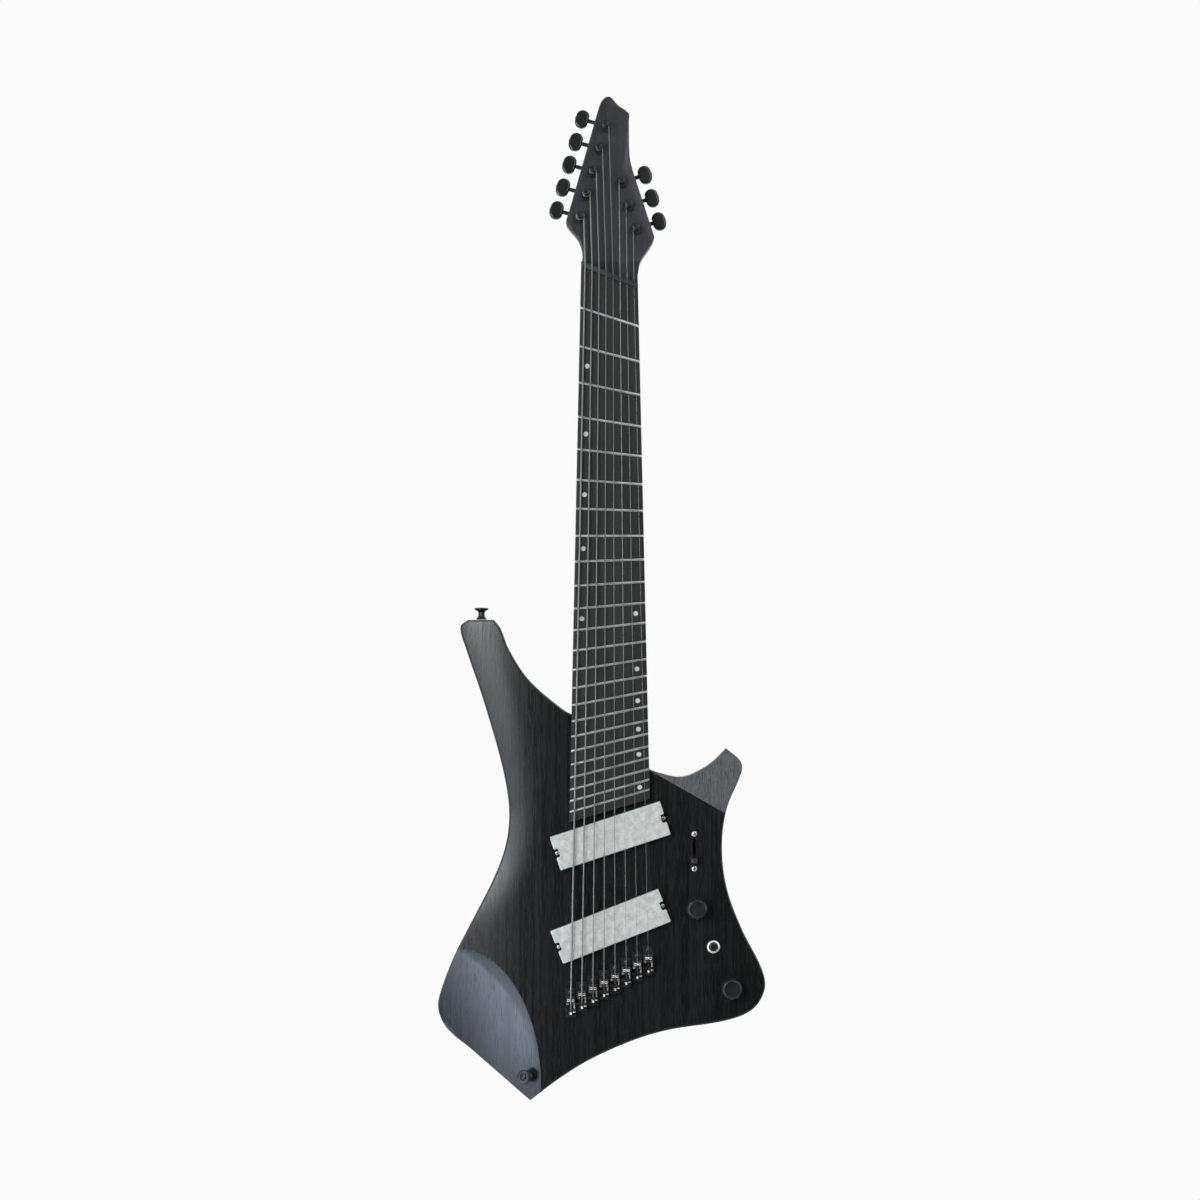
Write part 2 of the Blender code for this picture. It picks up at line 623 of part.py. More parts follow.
def body_blank():
    """Slab with rounded edges, whose top rolls off towards the arm."""
    shape = extruded(curved_ring(BODY_KNOTS, CURVE_STEPS), 0, BODY_THICK)
    for level, width in ((0, BACK_ROUND), (BODY_THICK, FRONT_ROUND)):
        rim = [e for e in shape.edges if all(abs(v.co.y + level) < WELD for v in e.verts)]
        bmesh.ops.bevel(shape, geom=rim, offset=width, segments=2, affect="EDGES", profile=0.5,
                        clamp_overlap=True)
    for k in range(ROLL_STRIPS):
        everything = shape.verts[:] + shape.edges[:] + shape.faces[:]
        bmesh.ops.bisect_plane(shape, geom=everything, dist=WELD, plane_no=(1, 0, 0),
                               plane_co=(ROLL_START - k * ROLL_STRIP, 0, 0))
    for vert in shape.verts:
        if -vert.co.y > BODY_THICK / 2:
            vert.co.y += roll_drop(vert.co.x)
    bmesh.ops.triangulate(shape, faces=shape.faces)
    return shape


def scoop_matrix():
    """Frame of the scoop's cone: Z out of the top, on its centre, tilted like the rolled top."""
    x, z = SCOOP_CENTRE
    hinge = Matrix.Translation((SCOOP_HINGE, -BODY_THICK, 0)) @ Matrix.Rotation(-SCOOP_TILT, 4, "Z")
    return hinge @ Matrix.Translation((x - SCOOP_HINGE, 0, z)) @ Matrix.Rotation(pi / 2, 4, "X")


def scoop():
    wide = SCOOP_RADIUS + SCOOP_RISE / tan(SCOOP_ANGLE)
    top = SCOOP_RISE + BEYOND
    profile = ((0, -SCOOP_RADIUS * tan(SCOOP_ANGLE)), (wide, SCOOP_RISE), (wide, top), (0, top))
    return moved(turned(profile, 72), scoop_matrix())


def horn_bevel():
    """Block whose lower face starts on a line in the top and falls away beyond it.

    It ends over the neck pocket, short of the other horn.
    """
    x, z = HORN_BEVEL_POINT
    frame = Matrix.Translation((x, -BODY_THICK, z)) @ Matrix.Rotation(pi / 2, 4, "X")
    frame = frame @ Matrix.Rotation(HORN_BEVEL_HEADING, 4, "Z") @ Matrix.Rotation(-HORN_BEVEL_SLOPE, 4, "X")
    wide, long, high = 5 * BODY_THICK, 2 * BODY_THICK, BODY_THICK
    return moved(box((wide, long, high), (BODY_THICK, long / 2, high / 2)), frame)


def belly():
    """Cap of a large sphere that dishes the back."""
    x, z = BELLY_AT
    low = BELLY_RADIUS - BELLY_DEPTH
    reach = acos((low - BEYOND / 2) / BELLY_RADIUS)
    arc = [reach * k / 3 for k in range(4)]
    profile = [(BELLY_RADIUS * sin(a), low - BELLY_RADIUS * cos(a)) for a in arc]
    profile.append((0, profile[-1][1]))
    return moved(turned(profile, 26), Matrix.Translation((x, 0, z)) @ Matrix.Rotation(-pi / 2, 4, "X"))


def cover_ring(distance):
    corners = [(x * MM, z * MM) for x, z in COVER_CORNERS]
    return rounded(offset(corners, distance), COVER_CORNER + distance)


def pickup_frame(name):
    x, z, turn = PICKUPS[name]
    return Matrix.Translation((x, 0, z)) @ Matrix.Rotation(-turn, 4, "Y")


def neck_pocket():
    """Tool for the pocket that the neck's tongue drops into, open towards the neck."""
    low = fret_fraction(BOARD_END_FRET)
    ring = []
    for side in (-1, 1):
        x, z = string_point(board_edge(side, low), low)
        ring.append((x + side * GAP, z - GAP))
    end = z + NECK_POCKET_LENGTH
    for side in (1, -1):
        ring.append((edge_across(side, end) + side * GAP, end))
    return extruded(ring, POCKET_FLOOR, BODY_THICK + BEYOND)


def body():
    """Body with its carved top, neck pocket, routs, cavities and drillings."""
    cuts = [scoop(), horn_bevel(), belly(), neck_pocket()]
    for name in PICKUPS:
        size = (PICKUP_LENGTH + 2 * PICKUP_CLEARANCE, PICKUP_WIDTH + 2 * PICKUP_CLEARANCE)
        rout = rounded(rectangle(*size), PICKUP_CORNER + PICKUP_CLEARANCE)
        cuts.append(moved(extruded(rout, PICKUP_FLOOR, BODY_THICK + BEYOND), pickup_frame(name)))
    cuts.append(extruded(cover_ring(-COVER_LEDGE), -BEYOND, CAVITY_CEILING))
    cuts.append(extruded(cover_ring(GAP), -BEYOND, COVER_THICK + GAP))
    deep, high = CAVITY_CEILING - BEYOND, BODY_THICK + BEYOND
    holes = ((VOLUME_AT, BUSHING_RADIUS), (TONE_AT, BUSHING_RADIUS), (KILL_AT, KILL_BODY_RADIUS))
    for (x, z), radius in holes:
        cuts.append(rod(radius + GAP, frontal(x, z, deep), frontal(x, z, high)))
    slot = rounded(rectangle(*SWITCH_SLOT, SELECTOR_AT), SWITCH_SLOT[0] * 0.4, 1)
    cuts.append(extruded(slot, deep, high))
    cuts.append(extruded(rounded(rectangle(*BAY_SIZE, BATTERY_AT), BAY_CORNER), -BEYOND, BAY_DEPTH))
    door = (DOOR_SIZE[0] + 2 * GAP, DOOR_SIZE[1] + GAP + DOOR_RELIEF)
    middle = (BATTERY_AT[0], BATTERY_AT[1] + (GAP - DOOR_RELIEF) / 2)
    cuts.append(extruded(rectangle(*door, middle), -BEYOND, DOOR_THICK + GAP))
    pin = DOOR_SIZE[0] / 2 + DOOR_PIN_LENGTH + GAP
    cuts.append(rod(DOOR_PIN_RADIUS + GAP, frontal(BATTERY_AT[0] - pin, DOOR_HINGE, DOOR_THICK / 2),
                    frontal(BATTERY_AT[0] + pin, DOOR_HINGE, DOOR_THICK / 2), 8))
    x, level = JACK_AT
    outer, inner = JACK_SEAT - 3 * BEYOND, JACK_SEAT + JACK_LENGTH - JACK_FLANGE_THICK
    cuts.append(rod(JACK_BARREL_RADIUS + GAP, (x, -level, outer), (x, -level, inner)))
    cuts.append(rod(JACK_FLANGE_RADIUS + GAP, (x, -level, outer), (x, -level, JACK_SEAT), 20))
    cuts += wire_holes()
    return combined(body_blank(), *(("DIFFERENCE", cut) for cut in cuts))


def wire_holes():
    """Drillings that join the pickup routs, the battery bay and the control cavity."""
    level = PICKUP_FLOOR + 2 * WIRE_RADIUS
    upper, lower = PICKUPS["neck_pickup"], PICKUPS["bridge_pickup"]
    across = upper[0] + WIRE_ASIDE
    end = lower[0] + PICKUP_LENGTH / 2 * cos(lower[2]), lower[1] + PICKUP_LENGTH / 2 * sin(lower[2])
    beside = BATTERY_AT[1] + WIRE_OVERLAP
    runs = (
        (frontal(across, upper[1] - WIRE_OVERLAP, level), frontal(across, lower[1] + WIRE_OVERLAP, level)),
        (frontal(end[0] - WIRE_OVERLAP / 3, end[1] - WIRE_OVERLAP / 3, level),
         frontal(VOLUME_AT[0], VOLUME_AT[1] - WIRE_OVERLAP / 2, level)),
        (frontal(BATTERY_AT[0], beside, BAY_DEPTH / 2),
         frontal(KILL_AT[0] - WIRE_OVERLAP, beside, BAY_DEPTH / 2)),
    )
    return [rod(WIRE_RADIUS, start, stop, 8) for start, stop in runs]


def pickup():
    """Moulded cover with a screw notch in each end."""
    deep, wide = PICKUP_NOTCH
    half, side = PICKUP_LENGTH / 2, PICKUP_WIDTH / 2
    quarter = [(half, wide / 2), (half, side), (-half, side), (-half, wide / 2), (-half + deep, wide / 2)]
    ring = [(half - deep, wide / 2)] + quarter
    ring += [(x, -z) for x, z in reversed(ring)]
    shape = extruded(ring, PICKUP_FLOOR + GAP, PICKUP_TOP)
    upright = [e for e in shape.edges if abs(e.verts[0].co.y - e.verts[1].co.y) > MM]
    bmesh.ops.bevel(shape, geom=upright, offset=PICKUP_CORNER * 0.5, segments=2, affect="EDGES", profile=0.5)
    rim = [e for e in shape.edges if all(abs(v.co.y + PICKUP_TOP) < WELD for v in e.verts)]
    bmesh.ops.bevel(shape, geom=rim, offset=PICKUP_EDGE, segments=1, affect="EDGES", profile=0.5)
    return shape


def saddle_spot(index):
    """Across and up of a saddle's crest."""
    t = index / (STRINGS - 1)
    x, z = string_point(t, 0)
    return x, z - BASS_SETBACK * (1 - t)


def bridge(index):
    """Single-string bridge: plate, saddle, and a slotted wall that holds the ball end."""
    x, _ = saddle_spot(index)
    crest = string_floor(x, 0) - GAP
    bottom = BODY_THICK + GAP
    rear = -BRIDGE_TAIL - BALL_LENGTH / 2 - GAP - BRIDGE_LIP
    wall = -BRIDGE_TAIL + BALL_LENGTH / 2 + GAP
    lip = PLATE_TOP + BALL_RADIUS
    wall_top = PLATE_TOP + 2 * BALL_RADIUS + 1.5 * MM
    profile = (
        (rear, bottom), (BRIDGE_NOSE, bottom), (BRIDGE_NOSE, PLATE_TOP - 1 * MM),
        (BRIDGE_NOSE - 1 * MM, PLATE_TOP), (SADDLE_FOOT, PLATE_TOP), (SADDLE_FLAT, crest),
        (-SADDLE_FLAT, crest), (-SADDLE_FOOT, PLATE_TOP), (wall + ANCHOR_WALL, PLATE_TOP),
        (wall + ANCHOR_WALL, wall_top), (wall, wall_top), (wall, PLATE_TOP),
        (rear + BRIDGE_LIP, PLATE_TOP), (rear + BRIDGE_LIP, lip), (rear, lip),
    )
    shape = extruded(profile, -BRIDGE_WIDTH / 2, BRIDGE_WIDTH / 2, sideways)
    width = 2 * (string_radius(index) + GAP)
    low = PLATE_TOP + 1 * MM
    slot = box((width, BEYOND, ANCHOR_WALL * 2), (0, -low - BEYOND / 2, wall + ANCHOR_WALL / 2))
    return combined(shape, ("DIFFERENCE", slot))


def pot():
    """Potentiometer: can under the top, threaded bushing through it, nut on top, open bore."""
    nut_top = BODY_THICK + GAP + POT_NUT_THICK
    bore = SHAFT_RADIUS + GAP
    floor = POT_BACK + 2 * MM
    return turned((
        (0, POT_BACK), (POT_RADIUS, POT_BACK), (POT_RADIUS, CAVITY_CEILING - GAP),
        (BUSHING_RADIUS, CAVITY_CEILING - GAP), (BUSHING_RADIUS, BODY_THICK + GAP),
        (POT_NUT_RADIUS, BODY_THICK + GAP), (POT_NUT_RADIUS, nut_top), (BUSHING_RADIUS, nut_top),
        (BUSHING_RADIUS, BUSHING_TOP), (bore, BUSHING_TOP), (bore, floor), (0, floor),
    ), 12)


def knob():
    """Turned knob, hollow over the nut, on the shaft that it turns."""
    base = BODY_THICK + KNOB_LIFT
    top = base + KNOB_HEIGHT
    hollow = BUSHING_TOP + 0.5 * MM
    inner = KNOB_RADIUS - KNOB_WALL
    return turned((
        (0, POT_BACK + 2 * MM + GAP), (SHAFT_RADIUS, POT_BACK + 2 * MM + GAP), (SHAFT_RADIUS, hollow),
        (inner, hollow), (inner, base), (KNOB_RADIUS - 0.4 * MM, base), (KNOB_RADIUS, base + 0.8 * MM),
        (KNOB_RADIUS - 0.5 * MM, top - 2 * MM), (KNOB_RADIUS - 1.8 * MM, top - 0.4 * MM),
        (KNOB_RADIUS - 3 * MM, top), (0, top - 0.6 * MM),
    ), 18)


def kill_switch():
    bore = KILL_BUTTON_RADIUS + GAP
    back = BODY_THICK + GAP - KILL_BODY_LENGTH
    face = BODY_THICK + GAP + BEZEL_THICK
    return turned((
        (0, back), (KILL_BODY_RADIUS, back), (KILL_BODY_RADIUS, BODY_THICK + GAP),
        (BEZEL_RADIUS, BODY_THICK + GAP), (BEZEL_RADIUS, face - 0.5 * MM), (BEZEL_RADIUS - 0.6 * MM, face),
        (bore, face), (bore, KILL_FLOOR), (0, KILL_FLOOR),
    ), 14)


def kill_button():
    low = KILL_FLOOR + KILL_TRAVEL + GAP
    top = BODY_THICK + GAP + BEZEL_THICK + KILL_BUTTON_RISE
    r = KILL_BUTTON_RADIUS
    return turned(((0, low), (r, low), (r, top - 0.6 * MM), (r - 0.8 * MM, top - 0.1 * MM), (0, top)), 14)


def selector_switch():
    """Switch frame under the top, slotted for its lever."""
    wide, long, deep = SWITCH_SIZE
    top = CAVITY_CEILING - GAP
    shape = box((wide, deep, long), (SELECTOR_AT[0], -(top - deep / 2), SELECTOR_AT[1]))
    low = LEVER_PIVOT - LEVER_WIDTH
    reach = (top - LEVER_PIVOT) * tan(LEVER_SWING) + LEVER_WIDTH
    slot = box((LEVER_THICK + 2 * GAP, top - low + BEYOND, 2 * reach),
               (SELECTOR_AT[0], -(low + top + BEYOND) / 2, SELECTOR_AT[1]))
    return combined(shape, ("DIFFERENCE", slot))


def selector_lever():
    """Flat blade from its pivot at the origin out to a rounded tip, along +Z."""
    tip = LEVER_TIP_WIDTH / 2
    thin, wide = LEVER_THICK / 2, LEVER_WIDTH / 2
    neck_at = BODY_THICK - LEVER_PIVOT + 2 * MM
    sections = (
        (-0.7 * wide, thin, 0.6 * wide), (0, thin, wide), (neck_at, thin, wide),
        (neck_at + 0.4 * MM, tip * 0.8, tip * 0.85), (neck_at + 1.6 * MM, tip, tip),
        (LEVER_REACH - 2 * MM, tip * 0.85, tip * 0.9), (LEVER_REACH, tip * 0.4, tip * 0.5),
    )
    rings = []
    for height, a, b in sections:
        corner = min(a, b) * 0.5
        rings.append([(x, y, height) for x, y in rounded(rectangle(2 * a, 2 * b), corner, 1)])
    return loft(rings)


def battery_cover():
    """Door plate whose hinge edge is round about its pins, with its pin line at the origin."""
    r = DOOR_THICK / 2
    long = DOOR_SIZE[1] - r
    nose = [(r * cos(a), r * sin(a)) for a in (pi / 2 + pi * k / 6 for k in range(7))]
    ring = [(z, level) for z, level in nose] + [(long, -r), (long, r)]
    shape = extruded(ring, -DOOR_SIZE[0] / 2, DOOR_SIZE[0] / 2, sideways)
    reach = DOOR_SIZE[0] / 2 + DOOR_PIN_LENGTH
    return combined(shape, ("UNION", rod(DOOR_PIN_RADIUS, (-reach, 0, 0), (reach, 0, 0), 8)))


def battery():
    wide, thick, long = BATTERY_SIZE
    level = BAY_DEPTH - GAP - thick / 2
    return bevelled(box((wide, thick, long), (BATTERY_AT[0], -level, BATTERY_AT[1])), BATTERY_EDGE)


def output_jack():
    """Barrel with a flange and an open bore, along +Z into the body from its outer face at the origin."""
    seat_at = JACK_FLANGE_THICK
    return turned((
        (0, JACK_LENGTH), (JACK_BARREL_RADIUS, JACK_LENGTH), (JACK_BARREL_RADIUS, seat_at),
        (JACK_FLANGE_RADIUS, seat_at), (JACK_FLANGE_RADIUS, 0), (JACK_BORE_RADIUS, 0),
        (JACK_BORE_RADIUS, JACK_LENGTH - 1.5 * MM), (0, JACK_LENGTH - 1.5 * MM),
    ), 16)


def strap_button():
    foot, waist, head = STRAP_RADII
    top = STRAP_HEIGHT
    return turned((
        (0, 0), (foot, 0), (foot, 1.2 * MM), (waist, 3.6 * MM), (waist, top - 4 * MM),
        (head - 0.6 * MM, top - 2 * MM), (head, top - 1.2 * MM), (head - 1 * MM, top), (0, top),
    ), 14)


def tuner_frames(head):
    """Seat empty per tuner: X towards its button, Z out of the headstock face."""
    frames = {}
    for number, x, y, towards, side in tuner_rows():
        place = Matrix.Translation((x, y, 0)) @ Matrix.Rotation(towards, 4, "Z")
        frames[number] = (seat(f"tuner_seat_{number}", place, head), side)
    return frames


def tuner_housing(side):
    """Sealed gear case behind the headstock, with its sleeve and front nut."""
    long, wide, deep = HOUSING_SIZE
    out, tip = HOUSING_SHIFT
    case = bevelled(box((long, wide, deep), (out, side * tip, SHAFT_DEPTH)), HOUSING_EDGE)
    bore = POST_RADIUS + GAP
    nut_top = GAP + TUNER_NUT_THICK
    inside = HOUSING_TOP - 2 * MM
    floor = -HEAD_THICK - POST_FLOOR
    sleeve = turned((
        (0, inside), (SLEEVE_RADIUS, inside), (SLEEVE_RADIUS, GAP), (TUNER_NUT_RADIUS, GAP),
        (TUNER_NUT_RADIUS, nut_top - 0.6 * MM), (TUNER_NUT_RADIUS - 0.8 * MM, nut_top), (0, nut_top),
    ), 10)
    y = side * SHAFT_OFFSET
    start = out + long / 2 - SHAFT_SEAT
    return combined(case, ("UNION", sleeve), ("DIFFERENCE", rod(bore, (0, 0, floor), (0, 0, BEYOND), 10)),
                    ("DIFFERENCE", rod(TUNER_SHAFT_RADIUS + GAP, (start, y, SHAFT_DEPTH),
                                       (start + 2 * BEYOND, y, SHAFT_DEPTH), 8)))


def tuner_post():
    """Post that the string winds on, along +Z."""
    foot = -HEAD_THICK - POST_FLOOR + GAP
    top = POST_HEIGHT
    shoulder = GAP + TUNER_NUT_THICK + GAP
    return turned((
        (0, foot), (POST_RADIUS, foot), (POST_RADIUS, shoulder), (POST_CAP, shoulder),
        (POST_CAP, shoulder + 1 * MM), (POST_WAIST, shoulder + 2.4 * MM), (POST_WAIST, top - 2.6 * MM),
        (POST_CAP, top - 1.6 * MM), (POST_CAP - 0.6 * MM, top), (0, top),
    ), 10)


def tuner_button():
    """Button on its worm shaft. The shaft runs along +X from the origin on the shaft's axis."""
    long, wide, thick = BUTTON_SIZE
    x = TUNER_REACH
    ring = rounded(rectangle(long, wide, (x, 0)), long * 0.42, 3)
    grip = bevelled(extruded(ring, -thick / 2, thick / 2, flat), BUTTON_EDGE)
    start = HOUSING_SHIFT[0] + HOUSING_SIZE[0] / 2 - SHAFT_SEAT + GAP
    return combined(grip, ("UNION", rod(TUNER_SHAFT_RADIUS, (start, 0, 0), (x, 0, 0), 8)))


def wound_points(number, index):
    """Points of a string from the nut to the end of its turns on the post, and their frame's matrix."""
    head = head_matrix()
    spot = next(row for row in tuner_rows() if row[0] == number)
    r = string_radius(index)
    x, z = string_point(index / (STRINGS - 1), 1)
    rear = frontal(x, z + GAP + NUT_THICK / cos(nut_lean()), string_floor(x, 1) + r)
    local = head.inverted() @ Vector(rear)
    centre = Vector(spot[1:3])
    reach = local.to_2d() - centre
    ring = POST_WAIST + GAP + r
    wind = -spot[4]  # counter-clockwise on the bass side
    angle = atan2(reach.y, reach.x) + wind * acos(ring / reach.length)
    pitch = 2 * r + WRAP_SPACE
    made = [Vector(rear)]
    for k in range(int(WRAP_TURNS * WRAP_STEPS) + 1):
        turn = angle + wind * tau * k / WRAP_STEPS
        height = WRAP_TOP - r - pitch * k / WRAP_STEPS
        made.append(head @ Vector((centre.x + ring * cos(turn), centre.y + ring * sin(turn), height)))
    return made


def string_curve(number, finish):
    """String as a round tube: ball end, saddle, nut, turns on the post."""
    index = STRINGS - number
    r = string_radius(index)
    t = index / (STRINGS - 1)
    x, z = saddle_spot(index)
    crest = string_floor(x, 0) + r
    ball_level = PLATE_TOP + GAP + BALL_RADIUS
    tail = z - BRIDGE_TAIL
    nut_x, nut_z = string_point(t, 1)
    path = [
        (frontal(x, tail - BALL_LENGTH / 2, ball_level), BALL_RADIUS),
        (frontal(x, tail + BALL_LENGTH / 2 - GAP, ball_level), BALL_RADIUS),
        (frontal(x, tail + BALL_LENGTH / 2, ball_level), r),
        (frontal(x, z - SADDLE_FLAT, crest), r),
        (frontal(nut_x, nut_z, string_floor(nut_x, 1) + r), r),
    ]
    path += [(tuple(point), r) for point in wound_points(number, index)]
    curve = bpy.data.curves.new(f"string_{number}", "CURVE")
    curve.dimensions = "3D"
    curve.bevel_depth = r
    curve.bevel_resolution = 1
    curve.use_fill_caps = True
    spline = curve.splines.new("POLY")
    spline.points.add(len(path) - 1)
    for point, (place, size) in zip(spline.points, path):
        point.co = (*place, 1)
        point.radius = size / r
    curve.materials.append(finish)
    made = bpy.data.objects.new(f"string_{number}", curve)
    bpy.context.scene.collection.objects.link(made)
    return made


def build():
    clear_scene()
    stained_wood = material("stained_wood", (0.014, 0.017, 0.018), 0.55)
    neck_wood = material("neck_wood", (0.02, 0.02, 0.022), 0.5)
    ebony = material("ebony", (0.025, 0.024, 0.021), 0.5)
    fibre = material("fibre", (0.02, 0.02, 0.02), 0.4)
    cover_metal = material("cover_metal", (0.52, 0.53, 0.5), 0.4, 0.7)
    black_metal = material("black_metal", (0.02, 0.02, 0.022), 0.35, 0.9)
    bright_metal = material("bright_metal", (0.6, 0.6, 0.58), 0.25, 1.0)
    black_plastic = material("black_plastic", (0.02, 0.02, 0.02), 0.45)
    steel_string = material("steel_string", (0.5, 0.5, 0.48), 0.3, 1.0)

    piece("body", body(), stained_wood)
    piece("neck", neck(), neck_wood)
    piece("fretboard", fretboard(), ebony)
    piece("nut", nut(), fibre)
    for name in PICKUPS:
        piece(name, pickup(), cover_metal, matrix=pickup_frame(name))

    piece("control_cover", extruded(cover_ring(0), 0, COVER_THICK), black_plastic)
    hinge = Matrix.Translation(frontal(BATTERY_AT[0], DOOR_HINGE, DOOR_THICK / 2))
    piece("battery_cover", battery_cover(), black_plastic, matrix=hinge)
    piece("battery", battery(), black_metal)

    outward = Matrix.Rotation(pi / 2, 4, "X")
    for name, spot in (("volume", VOLUME_AT), ("tone", TONE_AT)):
        place = Matrix.Translation((spot[0], 0, spot[1])) @ outward
        piece(f"{name}_pot", pot(), bright_metal, matrix=place)
        piece(f"{name}_knob", knob(), black_metal, matrix=place)
    place = Matrix.Translation((KILL_AT[0], 0, KILL_AT[1])) @ outward
    piece("kill_switch", kill_switch(), bright_metal, matrix=place)
    piece("kill_button", kill_button(), black_plastic, matrix=place)
    piece("selector_switch", selector_switch(), black_plastic)
    pivot = Matrix.Translation(frontal(SELECTOR_AT[0], SELECTOR_AT[1], LEVER_PIVOT))
    piece("selector_lever", selector_lever(), black_metal,
          matrix=pivot @ Matrix.Rotation(pi / 2 + LEVER_SWING, 4, "X"))

    jack = Matrix.Translation((JACK_AT[0], -JACK_AT[1], JACK_SEAT - GAP - JACK_FLANGE_THICK))
    piece("output_jack", output_jack(), bright_metal, matrix=jack)
    upper = Matrix.Translation((STRAP_UPPER_AT[0], -STRAP_UPPER_AT[1], BODY_UPPER_END + GAP))
    piece("strap_button_upper", strap_button(), black_metal, matrix=upper)
    scoop_seat = seat("scoop_seat", scoop_matrix())
    away, direction = STRAP_LOWER_AT
    down = (away - SCOOP_RADIUS) * tan(SCOOP_ANGLE)
    lower = Matrix.Rotation(direction, 4, "Z") @ Matrix.Translation((away, 0, down))
    lower = lower @ Matrix.Rotation(-SCOOP_ANGLE, 4, "Y") @ Matrix.Translation((0, 0, GAP))
    piece("strap_button_lower", strap_button(), black_metal, scoop_seat, lower)

    head = seat("head_seat", head_matrix())
    for number, (frame, side) in sorted(tuner_frames(head).items()):
        piece(f"tuner_housing_{number}", tuner_housing(side), black_metal, frame)
        piece(f"tuner_post_{number}", tuner_post(), black_metal, frame)
        shaft = Matrix.Translation((0, side * SHAFT_OFFSET, SHAFT_DEPTH))
        piece(f"tuner_button_{number}", tuner_button(), black_metal, frame, shaft)
    for number in range(1, STRINGS + 1):
        index = STRINGS - number
        x, z = saddle_spot(index)
        piece(f"bridge_{number}", bridge(index), black_metal, matrix=Matrix.Translation((x, 0, z)))
        string_curve(number, steel_string)


build()
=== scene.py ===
from contextlib import contextmanager
from math import acos, atan2, cos, pi, radians, sin, sqrt, tan, tau

import bmesh
import bpy
from mathutils import Matrix, Vector
from mathutils.geometry import interpolate_bezier


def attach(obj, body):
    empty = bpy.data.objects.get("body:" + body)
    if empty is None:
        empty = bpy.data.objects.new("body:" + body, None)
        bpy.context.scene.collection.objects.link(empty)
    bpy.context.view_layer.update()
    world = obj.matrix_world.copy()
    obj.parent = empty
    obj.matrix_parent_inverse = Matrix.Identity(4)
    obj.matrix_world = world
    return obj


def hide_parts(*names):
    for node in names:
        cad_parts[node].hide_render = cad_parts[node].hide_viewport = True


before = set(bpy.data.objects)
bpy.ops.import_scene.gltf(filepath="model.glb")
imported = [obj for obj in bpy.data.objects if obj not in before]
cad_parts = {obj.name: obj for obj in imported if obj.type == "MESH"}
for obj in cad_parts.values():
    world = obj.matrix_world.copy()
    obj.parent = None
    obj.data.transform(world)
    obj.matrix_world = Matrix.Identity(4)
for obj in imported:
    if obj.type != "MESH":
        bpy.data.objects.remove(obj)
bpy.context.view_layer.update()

MM = 0.001
GAP = 0.3 * MM
WELD = 1e-6
MODELS = {}  # pieces that are copied, and go when all is built

# Strings and scale
STRING_DIAMETERS = (1.65, 1.37, 1.07, 0.81, 0.61, 0.41, 0.28, 0.23)  # mm, thickest string first
STRINGS = len(STRING_DIAMETERS)
WOUND = 5  # how many of them, from the thickest, are wound
WIND_PITCH = 0.42 * MM
FRETS = 24
SCALE_BASS = 698.5 * MM
SCALE_TREBLE = 648 * MM
SQUARE_FRET = 8
NUT_SPREAD = 47.3 * MM
BRIDGE_SPREAD = 74.9 * MM
NUT_CLEARANCE = 0.5 * MM
BRIDGE_RISE = 2.6 * MM
BASS_SETBACK = 8.8 * MM

# Fretboard and nut
NECK_FACE = 45.2 * MM
BOARD_THICK = 6.5 * MM
BOARD_RADIUS = 400 * MM
BOARD_END_FRET = 25
EDGE_AT_NUT = 3.85 * MM
EDGE_AT_END = 4.75 * MM
FRET_WIDTH = 2.4 * MM
FRET_HEIGHT = 1.2 * MM
FRET_STRIPS = 24
FRET_END_SLOPE = 0.55  # how far the crown leans in at its ends, over its height
BOARD_RINGS = 16
NUT_THICK = 4.6 * MM
DOT_RADIUS = 2.3 * MM
SIDE_DOT_RADIUS = 1 * MM
DOTS_BASS = (3, 5, 7, 9, 12)
DOTS_TREBLE = (12, 15, 17, 19, 21, 24)
OCTAVES = (12, 24)  # frets with two side dots
DOT_FROM_EDGE = (8 * MM, 9.5 * MM)  # bass and treble

# Headstock
HEAD_AFTER_NUT = 2.95 * MM
HEAD_TILT = radians(9.5)
HEAD_THICK = 14.5 * MM

# Body
BODY_THICK = 44 * MM
FRONT_ROUND = 2.5 * MM
BACK_ROUND = 4 * MM
CURVE_STEPS = 9
BEYOND = 10 * MM  # how far a cutting piece reaches out of the body
ROLL_START = -50 * MM
ROLL_RADIUS = 400 * MM
ROLL_STRIPS = 28
BODY_KNOTS = (  # across and up, in mm, from the neck pocket round the arm side and back
    (-31, 249, "corner"), (-45, 256.5), (-77.7, 284.8), (-97, 313.8), (-105.5, 335),
    (-111.5, 342.8, "corner"), (-137, 342.8, "corner"), (-144.3, 336), (-138.5, 313.8), (-122.1, 265.5),
    (-103, 198), (-97, 156), (-101.6, 120.8), (-117.1, 82.1), (-147.3, 24.2), (-162.7, -14.4),
    (-166, -33.7), (-157.6, -53), (-134.7, -72.3), (-89.3, -110.9), (-76.7, -121.5, "corner"),
    (-50.1, -101.3), (-19.2, -82), (24.7, -62.6), (58.1, -53), (111.3, -44.4), (137.8, -33.7),
    (149.9, -14.4), (147.5, 4.9), (128.2, 43.5), (113.8, 82.1), (108.7, 120.8), (113, 159.4), (128, 196.5),
    (126.5, 206.5), (112.9, 218.5, "corner"), (101.3, 206.9), (88.9, 198.3), (70, 191.2), (46, 196),
    (31, 202, "corner"),
)
BODY_ARM_SIDE = min(knot[0] for knot in BODY_KNOTS) * MM
BODY_UPPER_END = max(knot[1] for knot in BODY_KNOTS) * MM
ARM_SIDE = [(x * MM, z * MM) for x, z in BODY_KNOTS[7:17]]
WAIST_FROM, WAIST_FULL = 40 * MM, 110 * MM
WAIST_WIDE = 34 * MM
WAIST_RADIUS = 250 * MM
SCOOP_CENTRE = (-219.4 * MM, -107.2 * MM)
SCOOP_RADIUS = 151.1 * MM
